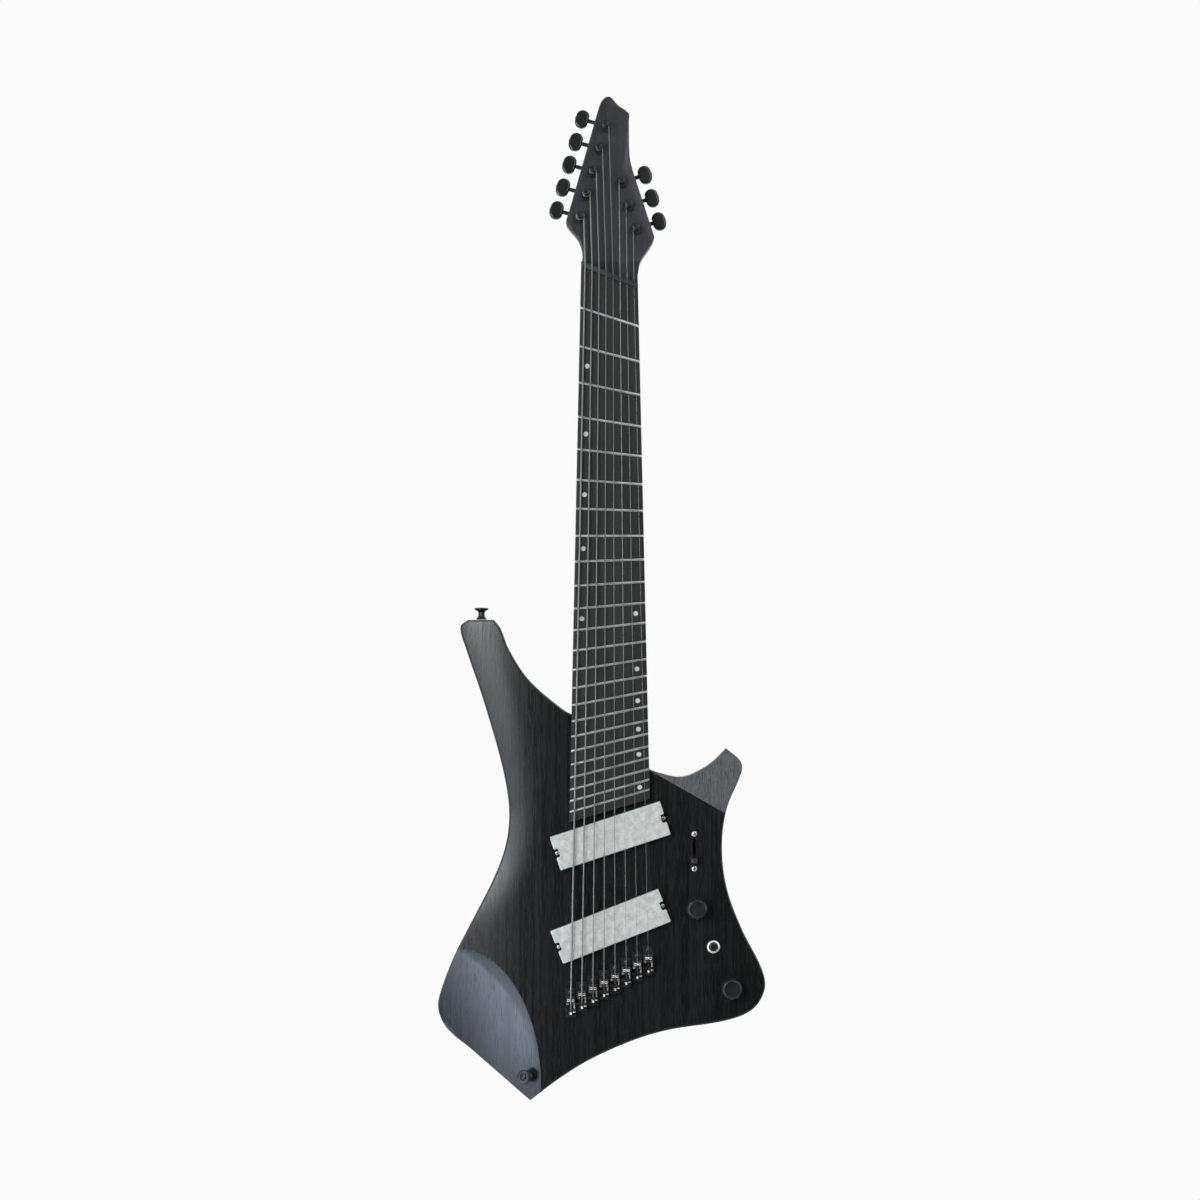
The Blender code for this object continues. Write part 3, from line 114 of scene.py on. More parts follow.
SCOOP_ANGLE = radians(13)
SCOOP_TILT = radians(7.7)
SCOOP_HINGE = -60 * MM
SCOOP_RISE = 8 * MM
SCOOP_WIDE = 69 * MM
SCOOP_SAG = 1.5 * MM
HORN_BEVEL_POINT = (85.2 * MM, 171.2 * MM)
HORN_BEVEL_HEADING = radians(-29.7)
HORN_BEVEL_SLOPE = radians(19.8)
BELLY_AT = (-118 * MM, 128 * MM)
BELLY_RADIUS = 230 * MM
BELLY_DEPTH = 14 * MM
HEEL_THICK = 18 * MM

# Pickups
PICKUP_LENGTH = 112 * MM
PICKUP_WIDTH = 34 * MM
PICKUP_TOP = 52.3 * MM
PICKUP_FLOOR = 23.7 * MM
PICKUP_CORNER = 2 * MM
PICKUP_NOTCH = (4 * MM, 8 * MM)
PICKUP_CLEARANCE = 0.6 * MM
PICKUP_EAR = 47 * MM
PICKUPS = {
    "neck_pickup": (0.7 * MM, 134.5 * MM, radians(18.1)),
    "bridge_pickup": (1.1 * MM, 47.1 * MM, radians(21.5)),
}

# Single-string bridges
BRIDGE_WIDTH = 9.9 * MM
BRIDGE_PLATE = 2.5 * MM
BRIDGE_NOSE = 12 * MM
BRIDGE_TAIL = 12.2 * MM
BRIDGE_LIP = 2 * MM
ANCHOR_WALL = 2.6 * MM
BALL_RADIUS = 1.9 * MM
BALL_LENGTH = 3.2 * MM

# Controls
VOLUME_AT = (84.5 * MM, 64 * MM)
TONE_AT = (118.2 * MM, -13.4 * MM)
KILL_AT = (100.4 * MM, 27.1 * MM)
SELECTOR_AT = (82 * MM, 119.3 * MM)
SELECTOR_SCREWS = 16.8 * MM
BUSHING_RADIUS = 4.7 * MM
KNOB_RADIUS = 10.25 * MM
KNOB_HEIGHT = 15 * MM
KNOB_LIFT = 0.5 * MM
KNOB_FLUTES = 40
KNOB_FLUTE_DEEP = 0.34 * MM
SWITCH_SLOT = (3 * MM, 26 * MM)
LEVER_PIVOT = 26 * MM
LEVER_REACH = 28.6 * MM
LEVER_SWING = radians(20)
BEZEL_RADIUS = 6.35 * MM
BEZEL_THICK = 1.6 * MM
KILL_BODY_RADIUS = 5.5 * MM
KILL_BODY_LONG = 20 * MM
KILL_BUTTON_RADIUS = 3.9 * MM
KILL_BUTTON_RISE = 1.6 * MM
KILL_TRAVEL = 1.5 * MM
KILL_SOCKET = 6 * MM  # depth of the button's bore under the body's face

# Back and edges
TOP_WALL = 7 * MM
COVER_THICK = 2.2 * MM
COVER_LEDGE = 6 * MM
COVER_CORNER = 9 * MM
COVER_CORNERS = ((62, 150), (99, 150), (99, 118), (109, 64), (136, 2), (134, -27), (87, -31), (64, 50))
BATTERY_AT = (38 * MM, 0 * MM)
BATTERY_SIZE = (26.5 * MM, 17.5 * MM, 48.5 * MM)
BATTERY_SNAPS = 2.6 * MM  # how far its two terminals stand out of it
SNAP_SPACING = 12.7 * MM
BAY_SIZE = (28.5 * MM, 50.5 * MM)
DOOR_SIZE = (36.5 * MM, 58.5 * MM)
DOOR_THICK = 2.2 * MM
DOOR_RELIEF = 0.7 * MM
BAY_DEPTH = 21 * MM
JACK_AT = (101 * MM, 22 * MM)
JACK_SEAT = -38 * MM
JACK_BORES = ((6.3 * MM, 17.5 * MM), (11.3 * MM, 0))  # radius, and how far past the seat
STRAP_UPPER_AT = (-124 * MM, 19 * MM)
STRAP_LOWER_AT = (140.4 * MM, radians(3.6))
NECK_BOLTS = ((-17, 168), (17, 160), (-17, 208), (17, 191))  # across and up, in mm

# Tuning machines
ROW_BASS = (-28.5 * MM, 42.5 * MM, radians(74.7), 23.4 * MM)
ROW_TREBLE = (25.6 * MM, 31.0 * MM, radians(106.5), 24.0 * MM)
TUNERS_BASS = 5
POST_RADIUS = 3 * MM
POST_HEIGHT = 13 * MM
POST_WAIST = 2.6 * MM
POST_CAP = 3.6 * MM
TUNER_NUT_RADIUS = 5.8 * MM
TUNER_NUT_THICK = 2.4 * MM
HOUSING_SIZE = (20 * MM, 15 * MM, 12 * MM)
HOUSING_SHIFT = (1 * MM, 2 * MM)
SHAFT_OFFSET = 5 * MM
TUNER_SHAFT_RADIUS = 2 * MM
TUNER_REACH = 24.9 * MM
BUTTON_SIZE = (13 * MM, 18 * MM, 7.5 * MM)
WRAP_TURNS = 1.5
WRAP_STEPS = 28
WRAP_TOP = 9.6 * MM
WRAP_SPACE = 0.25 * MM

# Worked out from the sizes above
BOARD_TOP = NECK_FACE + GAP + BOARD_THICK
FRET_TOP = BOARD_TOP + FRET_HEIGHT
SPLAY = (BRIDGE_SPREAD - NUT_SPREAD) / 2
RUN_BASS = sqrt(SCALE_BASS ** 2 - SPLAY ** 2)
RUN_TREBLE = sqrt(SCALE_TREBLE ** 2 - SPLAY ** 2)
BRIDGE_LEAN = (RUN_BASS - RUN_TREBLE) * 2 ** (-SQUARE_FRET / 12)
HEAD_BREAK = RUN_BASS - BRIDGE_LEAN / 2 + NUT_THICK + HEAD_AFTER_NUT
CAVITY_CEILING = BODY_THICK - TOP_WALL
PLATE_TOP = BODY_THICK + GAP + BRIDGE_PLATE
POCKET_FLOOR = NECK_FACE - HEEL_THICK - GAP
HOUSING_TOP = -HEAD_THICK - GAP
SHAFT_DEPTH = HOUSING_TOP - HOUSING_SIZE[2] / 2

# Camera and light
SENSOR = 36
IMAGE_MIDDLE = (-9.2 * MM, 362.1 * MM)
IMAGE_SPAN = 1158.3 * MM
CAMERA_AWAY = 8.0
FRONT_LEVEL = 50 * MM
FLOOR_UP = -1.1
FLOOR_RADIUS = 3.0
FLOOR_FADE = 0.9  # radius at which the floor begins to fade into the white room
FLOOR_GLOW = 0.6
LIT_POINT = (0, -0.04, 0.25)
ROOM_WHITE = (0.965, 0.965, 0.965)
ROOM_DIM = (0.3, 0.305, 0.31)  # what the room adds to dull surfaces
ROOM_DARK = (0.02, 0.02, 0.02)  # the side of the camera, as glossy surfaces see it


def moved(x, y, z):
    return Matrix.Translation((x, y, z))


def spun(angle, axis):
    return Matrix.Rotation(angle, 4, axis)


FRONT = spun(pi / 2, "X")  # across, up, level to the shared frame
BACK = spun(-pi / 2, "X")


# Shader maths

class Term:
    """One output of a shader node, on which sums can be written."""

    def __init__(self, finish, socket):
        self.finish = finish
        self.socket = socket

    def maths(self, operation, *values):
        return self.finish.node("ShaderNodeMath", {"operation": operation}, *values)

    def __add__(self, other):
        return self.maths("ADD", self, other)

    def __radd__(self, other):
        return self.maths("ADD", other, self)

    def __sub__(self, other):
        return self.maths("SUBTRACT", self, other)

    def __rsub__(self, other):
        return self.maths("SUBTRACT", other, self)

    def __mul__(self, other):
        return self.maths("MULTIPLY", self, other)

    def __rmul__(self, other):
        return self.maths("MULTIPLY", other, self)

    def over(self, low, high):
        """0 below low, 1 above high, a smooth ramp between."""
        return self.finish.node("ShaderNodeMapRange", {"interpolation_type": "SMOOTHSTEP"},
                                self, low, high, 0, 1)


class Nodes:
    """The shader nodes of one material or of the world."""

    def __init__(self, owner, shader):
        owner.use_nodes = True
        self.tree = owner.node_tree
        self.shader = self.tree.nodes[shader]

    def node(self, kind, settings, *values, output=0, **named):
        made = self.tree.nodes.new(kind)
        for key, value in settings.items():
            setattr(made, key, value)
        inputs = [socket for socket in made.inputs if socket.enabled]
        pairs = list(zip(inputs, values)) + [(made.inputs[key], value) for key, value in named.items()]
        for socket, value in pairs:
            if isinstance(value, Term):
                self.tree.links.new(value.socket, socket)
            else:
                socket.default_value = value
        return Term(self, made.outputs[output])

    def mixed(self, share, low, high):
        """Colour between two others."""
        colours = [colour if isinstance(colour, Term) else (*colour, 1) for colour in (low, high)]
        return self.node("ShaderNodeMix", {"data_type": "RGBA"}, share, *colours, output=2)

    def feed(self, **inputs):
        """Links terms to sockets of the shader, named with _ for a space."""
        for key, value in inputs.items():
            self.tree.links.new(value.socket, self.shader.inputs[key.replace("_", " ")])


class Finish(Nodes):
    """A named material and the nodes that make its look."""

    def __init__(self, name, colour, roughness, metallic=0.0, specular=0.5):
        self.material = bpy.data.materials.new(name)
        super().__init__(self.material, "Principled BSDF")
        self.shader.inputs["Base Color"].default_value = (*colour, 1)
        self.shader.inputs["Roughness"].default_value = roughness
        self.shader.inputs["Metallic"].default_value = metallic
        self.shader.inputs["Specular IOR Level"].default_value = specular
        self.place = self.node("ShaderNodeTexCoord", {}, output="Object")

    def noise(self, scale, detail=3, rough=0.55, where=None):
        return self.node("ShaderNodeTexNoise", {}, Vector=where or self.place, Scale=scale, Detail=detail,
                         Roughness=rough)

    def grain(self, across, deep, along, detail=3, rough=0.55):
        """Noise with a scale for each direction."""
        where = self.node("ShaderNodeMapping", {}, Vector=self.place, Scale=(across, deep, along))
        return self.noise(1, detail, rough, where)

    def relief(self, height, depth):
        """Bump of that depth in metres from a height between 0 and 1."""
        self.feed(Normal=self.node("ShaderNodeBump", {}, Strength=1.0, Distance=depth, Height=height))


def stained_wood(name, dark, light, roughness, relief):
    """Open-pored wood under a thin satin stain, its grain along +Z."""
    finish = Finish(name, dark, roughness)
    wander = finish.noise(7, 2)
    waves = finish.grain(60, 60, 1.6, 3)
    bands = finish.grain(14, 14, 0.9, 4)
    pores = finish.grain(1500, 450, 65, 2, 0.5)
    fine = finish.grain(3000, 900, 90, 2)
    streaks = finish.grain(330, 100, 7, 3)
    pit = (pores + bands * 0.12).over(0.6, 0.72)
    share = (waves * 0.45 + bands * 0.35 + streaks * 0.45 + wander * 0.2 - 0.42).over(0.0, 0.75)
    finish.feed(Base_Color=finish.mixed(share * (1 - pit * 0.75), dark, light),
                Roughness=roughness + pit * 0.12 + (streaks - 0.5) * 0.16)
    finish.relief(1 - pit * 0.7 + fine * 0.15 + streaks * 0.15, relief)
    return finish.material


def board_wood():
    """Dark close-grained wood with short pores."""
    dark, light = (0.006, 0.0058, 0.005), (0.022, 0.0212, 0.018)
    finish = Finish("fretboard wood", dark, 0.5, specular=0.32)
    streaks = finish.grain(420, 420, 12, 4, 0.6)
    bands = finish.grain(70, 70, 3, 3)
    pores = finish.grain(1500, 1500, 70, 2).over(0.6, 0.7)
    share = (streaks * 0.7 + bands * 0.5 - 0.35).over(0.0, 0.6) * (1 - pores * 0.6)
    finish.feed(Base_Color=finish.mixed(share, dark, light), Roughness=0.44 + streaks * 0.2)
    finish.relief(streaks * 0.3 + (1 - pores) * 0.7, 0.06 * MM)
    return finish.material


def metal(name, colour, roughness, metallic=1.0):
    """Metal with a fine tooth and faint blotches."""
    finish = Finish(name, colour, roughness, metallic)
    tooth = finish.noise(1400, 2)
    blotch = finish.noise(90, 3)
    pale = tuple(min(1, c * 1.35) for c in colour)
    dull = tuple(c * 0.8 for c in colour)
    finish.feed(Base_Color=finish.mixed((blotch * 0.7 + tooth * 0.3).over(0.3, 0.7), dull, pale),
                Roughness=roughness + (blotch - 0.5) * 0.18 + (tooth - 0.5) * 0.1)
    finish.relief(tooth, 0.008 * MM)
    return finish.material


def plastic(name, colour, roughness, depth=0.012 * MM):
    """Moulded plastic with a fine spark-eroded skin."""
    finish = Finish(name, colour, roughness)
    skin = finish.noise(2200, 2)
    cloud = finish.noise(60, 2)
    pale = tuple(c * 1.3 + 0.002 for c in colour)
    finish.feed(Base_Color=finish.mixed(cloud.over(0.3, 0.7), colour, pale),
                Roughness=roughness + (skin - 0.5) * 0.16 + (cloud - 0.5) * 0.08)
    finish.relief(skin, depth)
    return finish.material


def cover_finish():
    """Pale satin metal of the pickup covers, with a sandblasted tooth."""
    low, high = (0.408, 0.41, 0.375), (0.588, 0.587, 0.54)
    finish = Finish("pickup cover satin", high, 0.46, 0.25)
    tooth = finish.noise(1100, 3, 0.6)
    cloud = finish.noise(170, 2, 0.6)
    share = (tooth * 0.35 + cloud * 0.8).over(0.38, 0.78)
    finish.feed(Base_Color=finish.mixed(share, low, high), Roughness=0.42 + tooth * 0.14)
    finish.relief(tooth, 0.02 * MM)
    return finish.material


def wound_steel():
    """Steel strings. The wound ones show their winding as fine rings across the string, as a bump and as
    painted shade: a colour darker in the grooves between turns.
    """
    finish = Finish("wound string", (0.36, 0.36, 0.345), 0.36, 1.0)
    height = finish.node("ShaderNodeSeparateXYZ", {}, finish.place, output="Z")
    turns = height * (tau / WIND_PITCH)
    ring = turns.maths("SINE", turns) * 0.5 + 0.5
    wear = finish.grain(200, 200, 20, 3)
    # The ring term makes the colour darker in the grooves between turns, which is painted shade. The wear
    # term is random tone.
    share = ring * 0.6 + wear * 0.4
    finish.feed(Base_Color=finish.mixed(share, (0.12, 0.12, 0.114), (0.32, 0.32, 0.303)),
                Roughness=0.46 - share * 0.16)
    finish.relief(ring, 0.05 * MM)
    return finish.material


def inlay_finish():
    """Pale plastic of the position dots."""
    finish = Finish("position dot", (0.46, 0.46, 0.43), 0.3)
    cloud = finish.noise(500, 3)
    finish.feed(Base_Color=finish.mixed(cloud.over(0.3, 0.7), (0.4, 0.4, 0.38), (0.56, 0.56, 0.52)),
                Roughness=0.25 + cloud * 0.15)
    return finish.material


def floor_finish():
    """Pale floor that keeps shadows near its middle and fades into the white room at its rim."""
    finish = Finish("pale floor", (0.86, 0.86, 0.86), 0.8)
    cloud = finish.noise(3, 3)
    finish.feed(Base_Color=finish.mixed(cloud.over(0.3, 0.7), (0.84, 0.84, 0.84), (0.88, 0.88, 0.88)))
    away = finish.node("ShaderNodeVectorMath", {"operation": "LENGTH"}, finish.place, output="Value")
    seen = finish.node("ShaderNodeLightPath", {}, output="Is Camera Ray")
    share = seen * (FLOOR_GLOW + (1 - FLOOR_GLOW) * away.over(FLOOR_FADE, FLOOR_RADIUS))
    glow = finish.node("ShaderNodeEmission", {}, (*ROOM_WHITE, 1), 1.0)
    both = finish.node("ShaderNodeMixShader", {}, share, Term(finish, finish.shader.outputs["BSDF"]), glow)
    finish.tree.links.new(both.socket, finish.tree.nodes["Material Output"].inputs["Surface"])
    return finish.material


# Modelling

def alone(piece):
    """Only that object is selected and active."""
    bpy.ops.object.select_all(action="DESELECT")
    piece.select_set(True)
    bpy.context.view_layer.objects.active = piece


@contextmanager
def editing(piece, kind="EDGE", everything=False):
    alone(piece)
    bpy.ops.object.mode_set(mode="EDIT")
    bpy.ops.mesh.select_mode(type=kind)
    bpy.ops.mesh.select_all(action="SELECT" if everything else "DESELECT")
    yield
    bpy.ops.object.mode_set(mode="OBJECT")


def pick(piece, kind, test):
    """Selects the verts, edges or faces that pass the test. The piece is in edit mode."""
    shape = bmesh.from_edit_mesh(piece.data)
    for item in getattr(shape, kind):
        item.select_set(False)
    for item in getattr(shape, kind):
        if test(item):
            item.select_set(True)
    bmesh.update_edit_mesh(piece.data)


def applied(piece):
    """The object's place goes into its mesh."""
    alone(piece)
    bpy.ops.object.transform_apply(location=True, rotation=True, scale=True)
    return piece


def placed(piece, matrix):
    piece.matrix_world = matrix
    return applied(piece)


def modified(piece, kind, **settings):
    """Adds a modifier with its settings and applies it."""
    change = piece.modifiers.new(kind, kind)
    for key, value in settings.items():
        setattr(change, key, value)
    alone(piece)
    bpy.ops.object.modifier_apply(modifier=change.name)
    return piece


def softened(piece, width, segments=3, angle=30):
    """Every edge sharper than the angle is rounded."""
    return modified(piece, "BEVEL", width=width, segments=segments, limit_method="ANGLE",
                    angle_limit=radians(angle), use_clamp_overlap=True)


def welded(piece):
    """Doubles merged and faces turned outwards."""
    with editing(piece, "VERT", True):
        bpy.ops.mesh.remove_doubles(threshold=WELD)
        bpy.ops.mesh.normals_make_consistent(inside=False)
    return piece


def cut(piece, *tools, operation="DIFFERENCE"):
    for tool in tools:
        modified(piece, "BOOLEAN", operation=operation, object=tool, solver="EXACT")
        bpy.data.objects.remove(tool)
    return piece


def joined(first, *others):
    """One object from several, each keeping its own closed shell."""
    bpy.ops.object.select_all(action="DESELECT")
    for piece in (first, *others):
        piece.select_set(True)
    bpy.context.view_layer.objects.active = first
    bpy.ops.object.join()
    return first


def copied(piece):
    made = piece.copy()
    made.data = piece.data.copy()
    bpy.context.scene.collection.objects.link(made)
    return made


def finished(piece, name, material, body="instrument", replaces=None, angle=32):
    """Names the piece, gives it its finish and smooth faces, and lets it ride on its body."""
    piece.name = piece.data.name = name
    piece.data.materials.clear()
    piece.data.materials.append(material)
    alone(piece)
    bpy.ops.object.shade_smooth_by_angle(angle=radians(angle))
    modified(piece, "WEIGHTED_NORMAL", keep_sharp=True)
    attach(piece, body)
    if replaces:
        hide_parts(replaces)
    return piece


def set_in(model, name, matrix, material, body="instrument", replaces=None):
    """Finishes a copy of the model at that place."""
    MODELS[model.name] = model
    return finished(placed(copied(model), matrix), name, material, body, replaces)


def block(size, centre=(0, 0, 0)):
    bpy.ops.object.select_all(action="DESELECT")
    bpy.ops.mesh.primitive_cube_add(size=1, location=centre, scale=size)
    return applied(bpy.context.object)


def profile(*steps, at=(0, 0)):
    """Points of (radius, height) for a turned piece, given in mm from one of them."""
    return [(at[0] + radius * MM, at[1] + height * MM) for radius, height in steps]


def turned(points, steps=40, bored=False):
    """Round piece about +Z: a circle, extruded and resized to each (radius, height), with closed ends."""
    bpy.ops.object.select_all(action="DESELECT")
    radius, height = points[0]
    bpy.ops.mesh.primitive_circle_add(vertices=steps, radius=radius, location=(0, 0, height))
    piece = applied(bpy.context.object)
    with editing(piece, "EDGE", True):
        for (r0, h0), (r1, h1) in zip(points, points[1:]):
            bpy.ops.mesh.extrude_edges_move(TRANSFORM_OT_translate={"value": (0, 0, h1 - h0)})
            bpy.ops.transform.resize(value=(r1 / r0, r1 / r0, 1), center_override=(0, 0, h1))
        bpy.ops.mesh.select_all(action="SELECT")
        if bored:
            bpy.ops.mesh.remove_doubles(threshold=WELD)
        else:
            bpy.ops.mesh.fill_holes(sides=0)
        bpy.ops.mesh.normals_make_consistent(inside=False)
    return piece


def tube(points, steps=40):
    """Round piece with a bore: the line of points closes on itself."""
    return turned((*points, points[0]), steps, bored=True)


def plate(ring, start, *stops):
    """Piece with that outline of (a, b) points, from one height through others along +Z."""
    bpy.ops.object.select_all(action="DESELECT")
    bpy.ops.mesh.primitive_circle_add(vertices=len(ring), radius=1)
    piece = bpy.context.object
    for vert, (a, b) in zip(piece.data.vertices, ring):
        vert.co = (a, b, start)
    with editing(piece, "EDGE", True):
        for low, high in zip((start, *stops), stops):
            bpy.ops.mesh.extrude_edges_move(TRANSFORM_OT_translate={"value": (0, 0, high - low)})
        bpy.ops.mesh.select_all(action="SELECT")
        bpy.ops.mesh.fill_holes(sides=0)
        bpy.ops.mesh.normals_make_consistent(inside=False)
    return piece


def rim_rounded(piece, height, width, segments=4, bulge=0.5):
    """Rounds the edges that lie flat at that height along Z."""
    with editing(piece, "EDGE"):
        pick(piece, "edges", lambda e: all(abs(v.co.z - height) < WELD for v in e.verts))
        bpy.ops.mesh.bevel(offset=width, segments=segments, profile=bulge, affect="EDGES",
                           clamp_overlap=True)
    return piece


def rectangle(width, height, centre=(0, 0)):
    x, y = centre
    return [(x + sx * width / 2, y + sy * height / 2) for sx, sy in ((-1, -1), (1, -1), (1, 1), (-1, 1))]


def rounded(ring, radius, steps=6):
    """The ring with each of its corners replaced by an arc."""
    made = []
    for k, point in enumerate(ring):
        corner = Vector(point)
        before = (Vector(ring[k - 1]) - corner).normalized()
        after = (Vector(ring[(k + 1) % len(ring)]) - corner).normalized()
        reach = radius / tan(before.angle(after) / 2)
        start, stop = corner + before * reach, corner + after * reach
        pulls = [corner + (end - corner) * 0.45 for end in (start, stop)]
        arc = interpolate_bezier(*[p.to_3d() for p in (start, *pulls, stop)], steps + 1)
        made += [tuple(p[:2]) for p in arc]
    return made


def offset(ring, distance):
    """The ring with every side moved out by distance."""
    area = sum(a[0] * b[1] - b[0] * a[1] for a, b in zip(ring, ring[1:] + ring[:1]))
    side = 1 if area > 0 else -1
    made = []
    for k, point in enumerate(ring):
        before = (Vector(point) - Vector(ring[k - 1])).normalized()
        after = (Vector(ring[(k + 1) % len(ring)]) - Vector(point)).normalized()
        out = Vector((before.y + after.y, -before.x - after.x)).normalized() * side
        scale = distance / max(0.2, out.dot(Vector((after.y, -after.x)) * side))
        made.append((point[0] + out.x * scale, point[1] + out.y * scale))
    return made


def curved_ring(knots, steps):
    """Outline through knots of (x, y) in mm. It is smooth at each, but for those marked as a corner."""
    points = [Vector((x * MM, y * MM, 0)) for x, y, *_ in knots]
    count = len(knots)
    made = []
    for k in range(count):
        here, there = points[k], points[(k + 1) % count]
        span = (there - here).length
        leave = arrive = (there - here).normalized()
        if "corner" not in knots[k]:
            leave = (there - points[k - 1]).normalized()
        if "corner" not in knots[(k + 1) % count]:
            arrive = (points[(k + 2) % count] - here).normalized()
        straight = leave.dot(arrive) > 0.99999
        line = interpolate_bezier(here, here + leave * span / 3, there - arrive * span / 3, there,
                                  2 if straight else steps + 1)
        made += [tuple(p[:2]) for p in line[:-1]]
    return made


# Where things lie

def fret_fraction(fret):
    return 2 ** (-fret / 12)


def string_point(t, f):
    """Across and up, on the line at share t from the thickest string, at share f up from the bridge."""
    across = (t - 0.5) * (BRIDGE_SPREAD + (NUT_SPREAD - BRIDGE_SPREAD) * f)
    up = (t - 0.5) * BRIDGE_LEAN + f * (RUN_BASS + (RUN_TREBLE - RUN_BASS) * t)
    return across, up


def board_edge(side, f):
    end = fret_fraction(BOARD_END_FRET)
    margin = EDGE_AT_END + (EDGE_AT_NUT - EDGE_AT_END) * (f - end) / (1 - end)
    spread = BRIDGE_SPREAD + (NUT_SPREAD - BRIDGE_SPREAD) * f
    return 0.5 + side * (0.5 + margin / spread)


def edge_across(side, up):
    x_nut, z_nut = string_point(board_edge(side, 1), 1)
    low = fret_fraction(BOARD_END_FRET)
    x_end, z_end = string_point(board_edge(side, low), low)
    return x_nut + (x_nut - x_end) / (z_nut - z_end) * (up - z_nut)


def radius_drop(x):
    return BOARD_RADIUS - sqrt(BOARD_RADIUS ** 2 - x * x)


def string_radius(index):
    return STRING_DIAMETERS[index] * MM / 2


def string_floor(x, f):
    return FRET_TOP + NUT_CLEARANCE + BRIDGE_RISE * (1 - f) - radius_drop(x)


def frontal(a, b, level):
    return (a, -level, b)


def head_matrix():
    """Frame of the headstock face: X across, Y up the face, Z out of it."""
    return moved(0, -NECK_FACE, HEAD_BREAK) @ spun(pi / 2 - HEAD_TILT, "X")


def tuner_rows():
    """(string number, post across, post up the face, direction to the button, shaft side) per tuner."""
    spots = []
    rows = ((ROW_BASS, TUNERS_BASS, 1), (ROW_TREBLE, STRINGS - TUNERS_BASS, -1))
    for (across, up, heading, pitch), count, side in rows:
        for k in range(count):
            number = STRINGS - k if side > 0 else 1 + k
            x = across + k * pitch * cos(heading)
            y = up + k * pitch * sin(heading)
            spots.append((number, x, y, heading + side * pi / 2, -side))
    return spots


def saddle_spot(index):
    t = index / (STRINGS - 1)
    x, z = string_point(t, 0)
    return x, z - BASS_SETBACK * (1 - t)


def pickup_frame(name):
    """Frame of a pickup: X along it, Y across it, Z out of the front, from the back plane."""
    x, z, turn = PICKUPS[name]
    return moved(x, 0, z) @ spun(-turn, "Y") @ FRONT


def scoop_matrix():
    x, z = SCOOP_CENTRE
    hinge = moved(SCOOP_HINGE, -BODY_THICK, 0) @ spun(-SCOOP_TILT, "Z")
    return hinge @ moved(x - SCOOP_HINGE, 0, z) @ FRONT


def scoop_level(radius):
    """Height of the scoop's hollow floor over its own plane, at that distance from its axis."""
    share = min(1, max(0, (SCOOP_RADIUS - radius) / SCOOP_WIDE))
    return (radius - SCOOP_RADIUS) * tan(SCOOP_ANGLE) - 4 * SCOOP_SAG * share * (1 - share)


def cover_ring(distance):
    corners = [(x * MM, z * MM) for x, z in COVER_CORNERS]
    return rounded(offset(corners, distance), COVER_CORNER + distance)


# Finishes
BODY_WOOD = stained_wood("stained body wood", (0.0018, 0.0021, 0.0019), (0.0078, 0.0086, 0.008),
                         0.27, 0.012 * MM)
NECK_WOOD = stained_wood("stained neck wood", (0.007, 0.008, 0.009), (0.018, 0.02, 0.023),
                         0.36, 0.02 * MM)
BOARD_WOOD = board_wood()
NUT_FIBRE = plastic("nut fibre", (0.012, 0.012, 0.012), 0.4)
COVER_SATIN = cover_finish()
BLACK_METAL = metal("black hardware", (0.012, 0.0125, 0.013), 0.34, 0.35)
BLACK_SATIN = metal("black bridge steel", (0.022, 0.022, 0.021), 0.36, 0.6)
BRIGHT_METAL = metal("bright nickel", (0.62, 0.61, 0.58), 0.22)
SATIN_METAL = metal("satin nickel", (0.68, 0.68, 0.66), 0.5)
FRET_METAL = metal("fret wire", (0.49, 0.485, 0.463), 0.3)
SCREW_METAL = metal("bright screw steel", (0.5, 0.49, 0.46), 0.3)
BLACK_PLASTIC = plastic("black moulded plastic", (0.012, 0.012, 0.012), 0.42)
GLOSS_PLASTIC = plastic("black polished plastic", (0.008, 0.008, 0.009), 0.24, 0.004 * MM)
CELL_CASE = metal("battery case", (0.03, 0.03, 0.032), 0.4, 0.2)
STRING_STEEL = metal("plain string", (0.33, 0.327, 0.315), 0.3)
STRING_WOUND = wound_steel()
DOT_PALE = inlay_finish()


# Body and neck

def arm_edge(z):
    """Where the arm side's outline runs at that height."""
    for (x0, z0), (x1, z1) in zip(ARM_SIDE, ARM_SIDE[1:]):
        if z0 >= z >= z1:
            return x0 + (x1 - x0) * (z0 - z) / (z0 - z1)
    return ARM_SIDE[0][0] if z > ARM_SIDE[0][1] else ARM_SIDE[-1][0]


def roll_drop(x, z):
    """How far the top has fallen towards the arm side, and a little more along the waist and the horn."""
    wide = ROLL_RADIUS - sqrt(ROLL_RADIUS ** 2 - max(0, ROLL_START - x) ** 2)
    share = min(1, max(0, (z - WAIST_FROM) / (WAIST_FULL - WAIST_FROM)))
    inside = max(0, WAIST_WIDE - (x - arm_edge(z)))
    return wide + share * share * (3 - 2 * share) * inside ** 2 / (2 * WAIST_RADIUS)


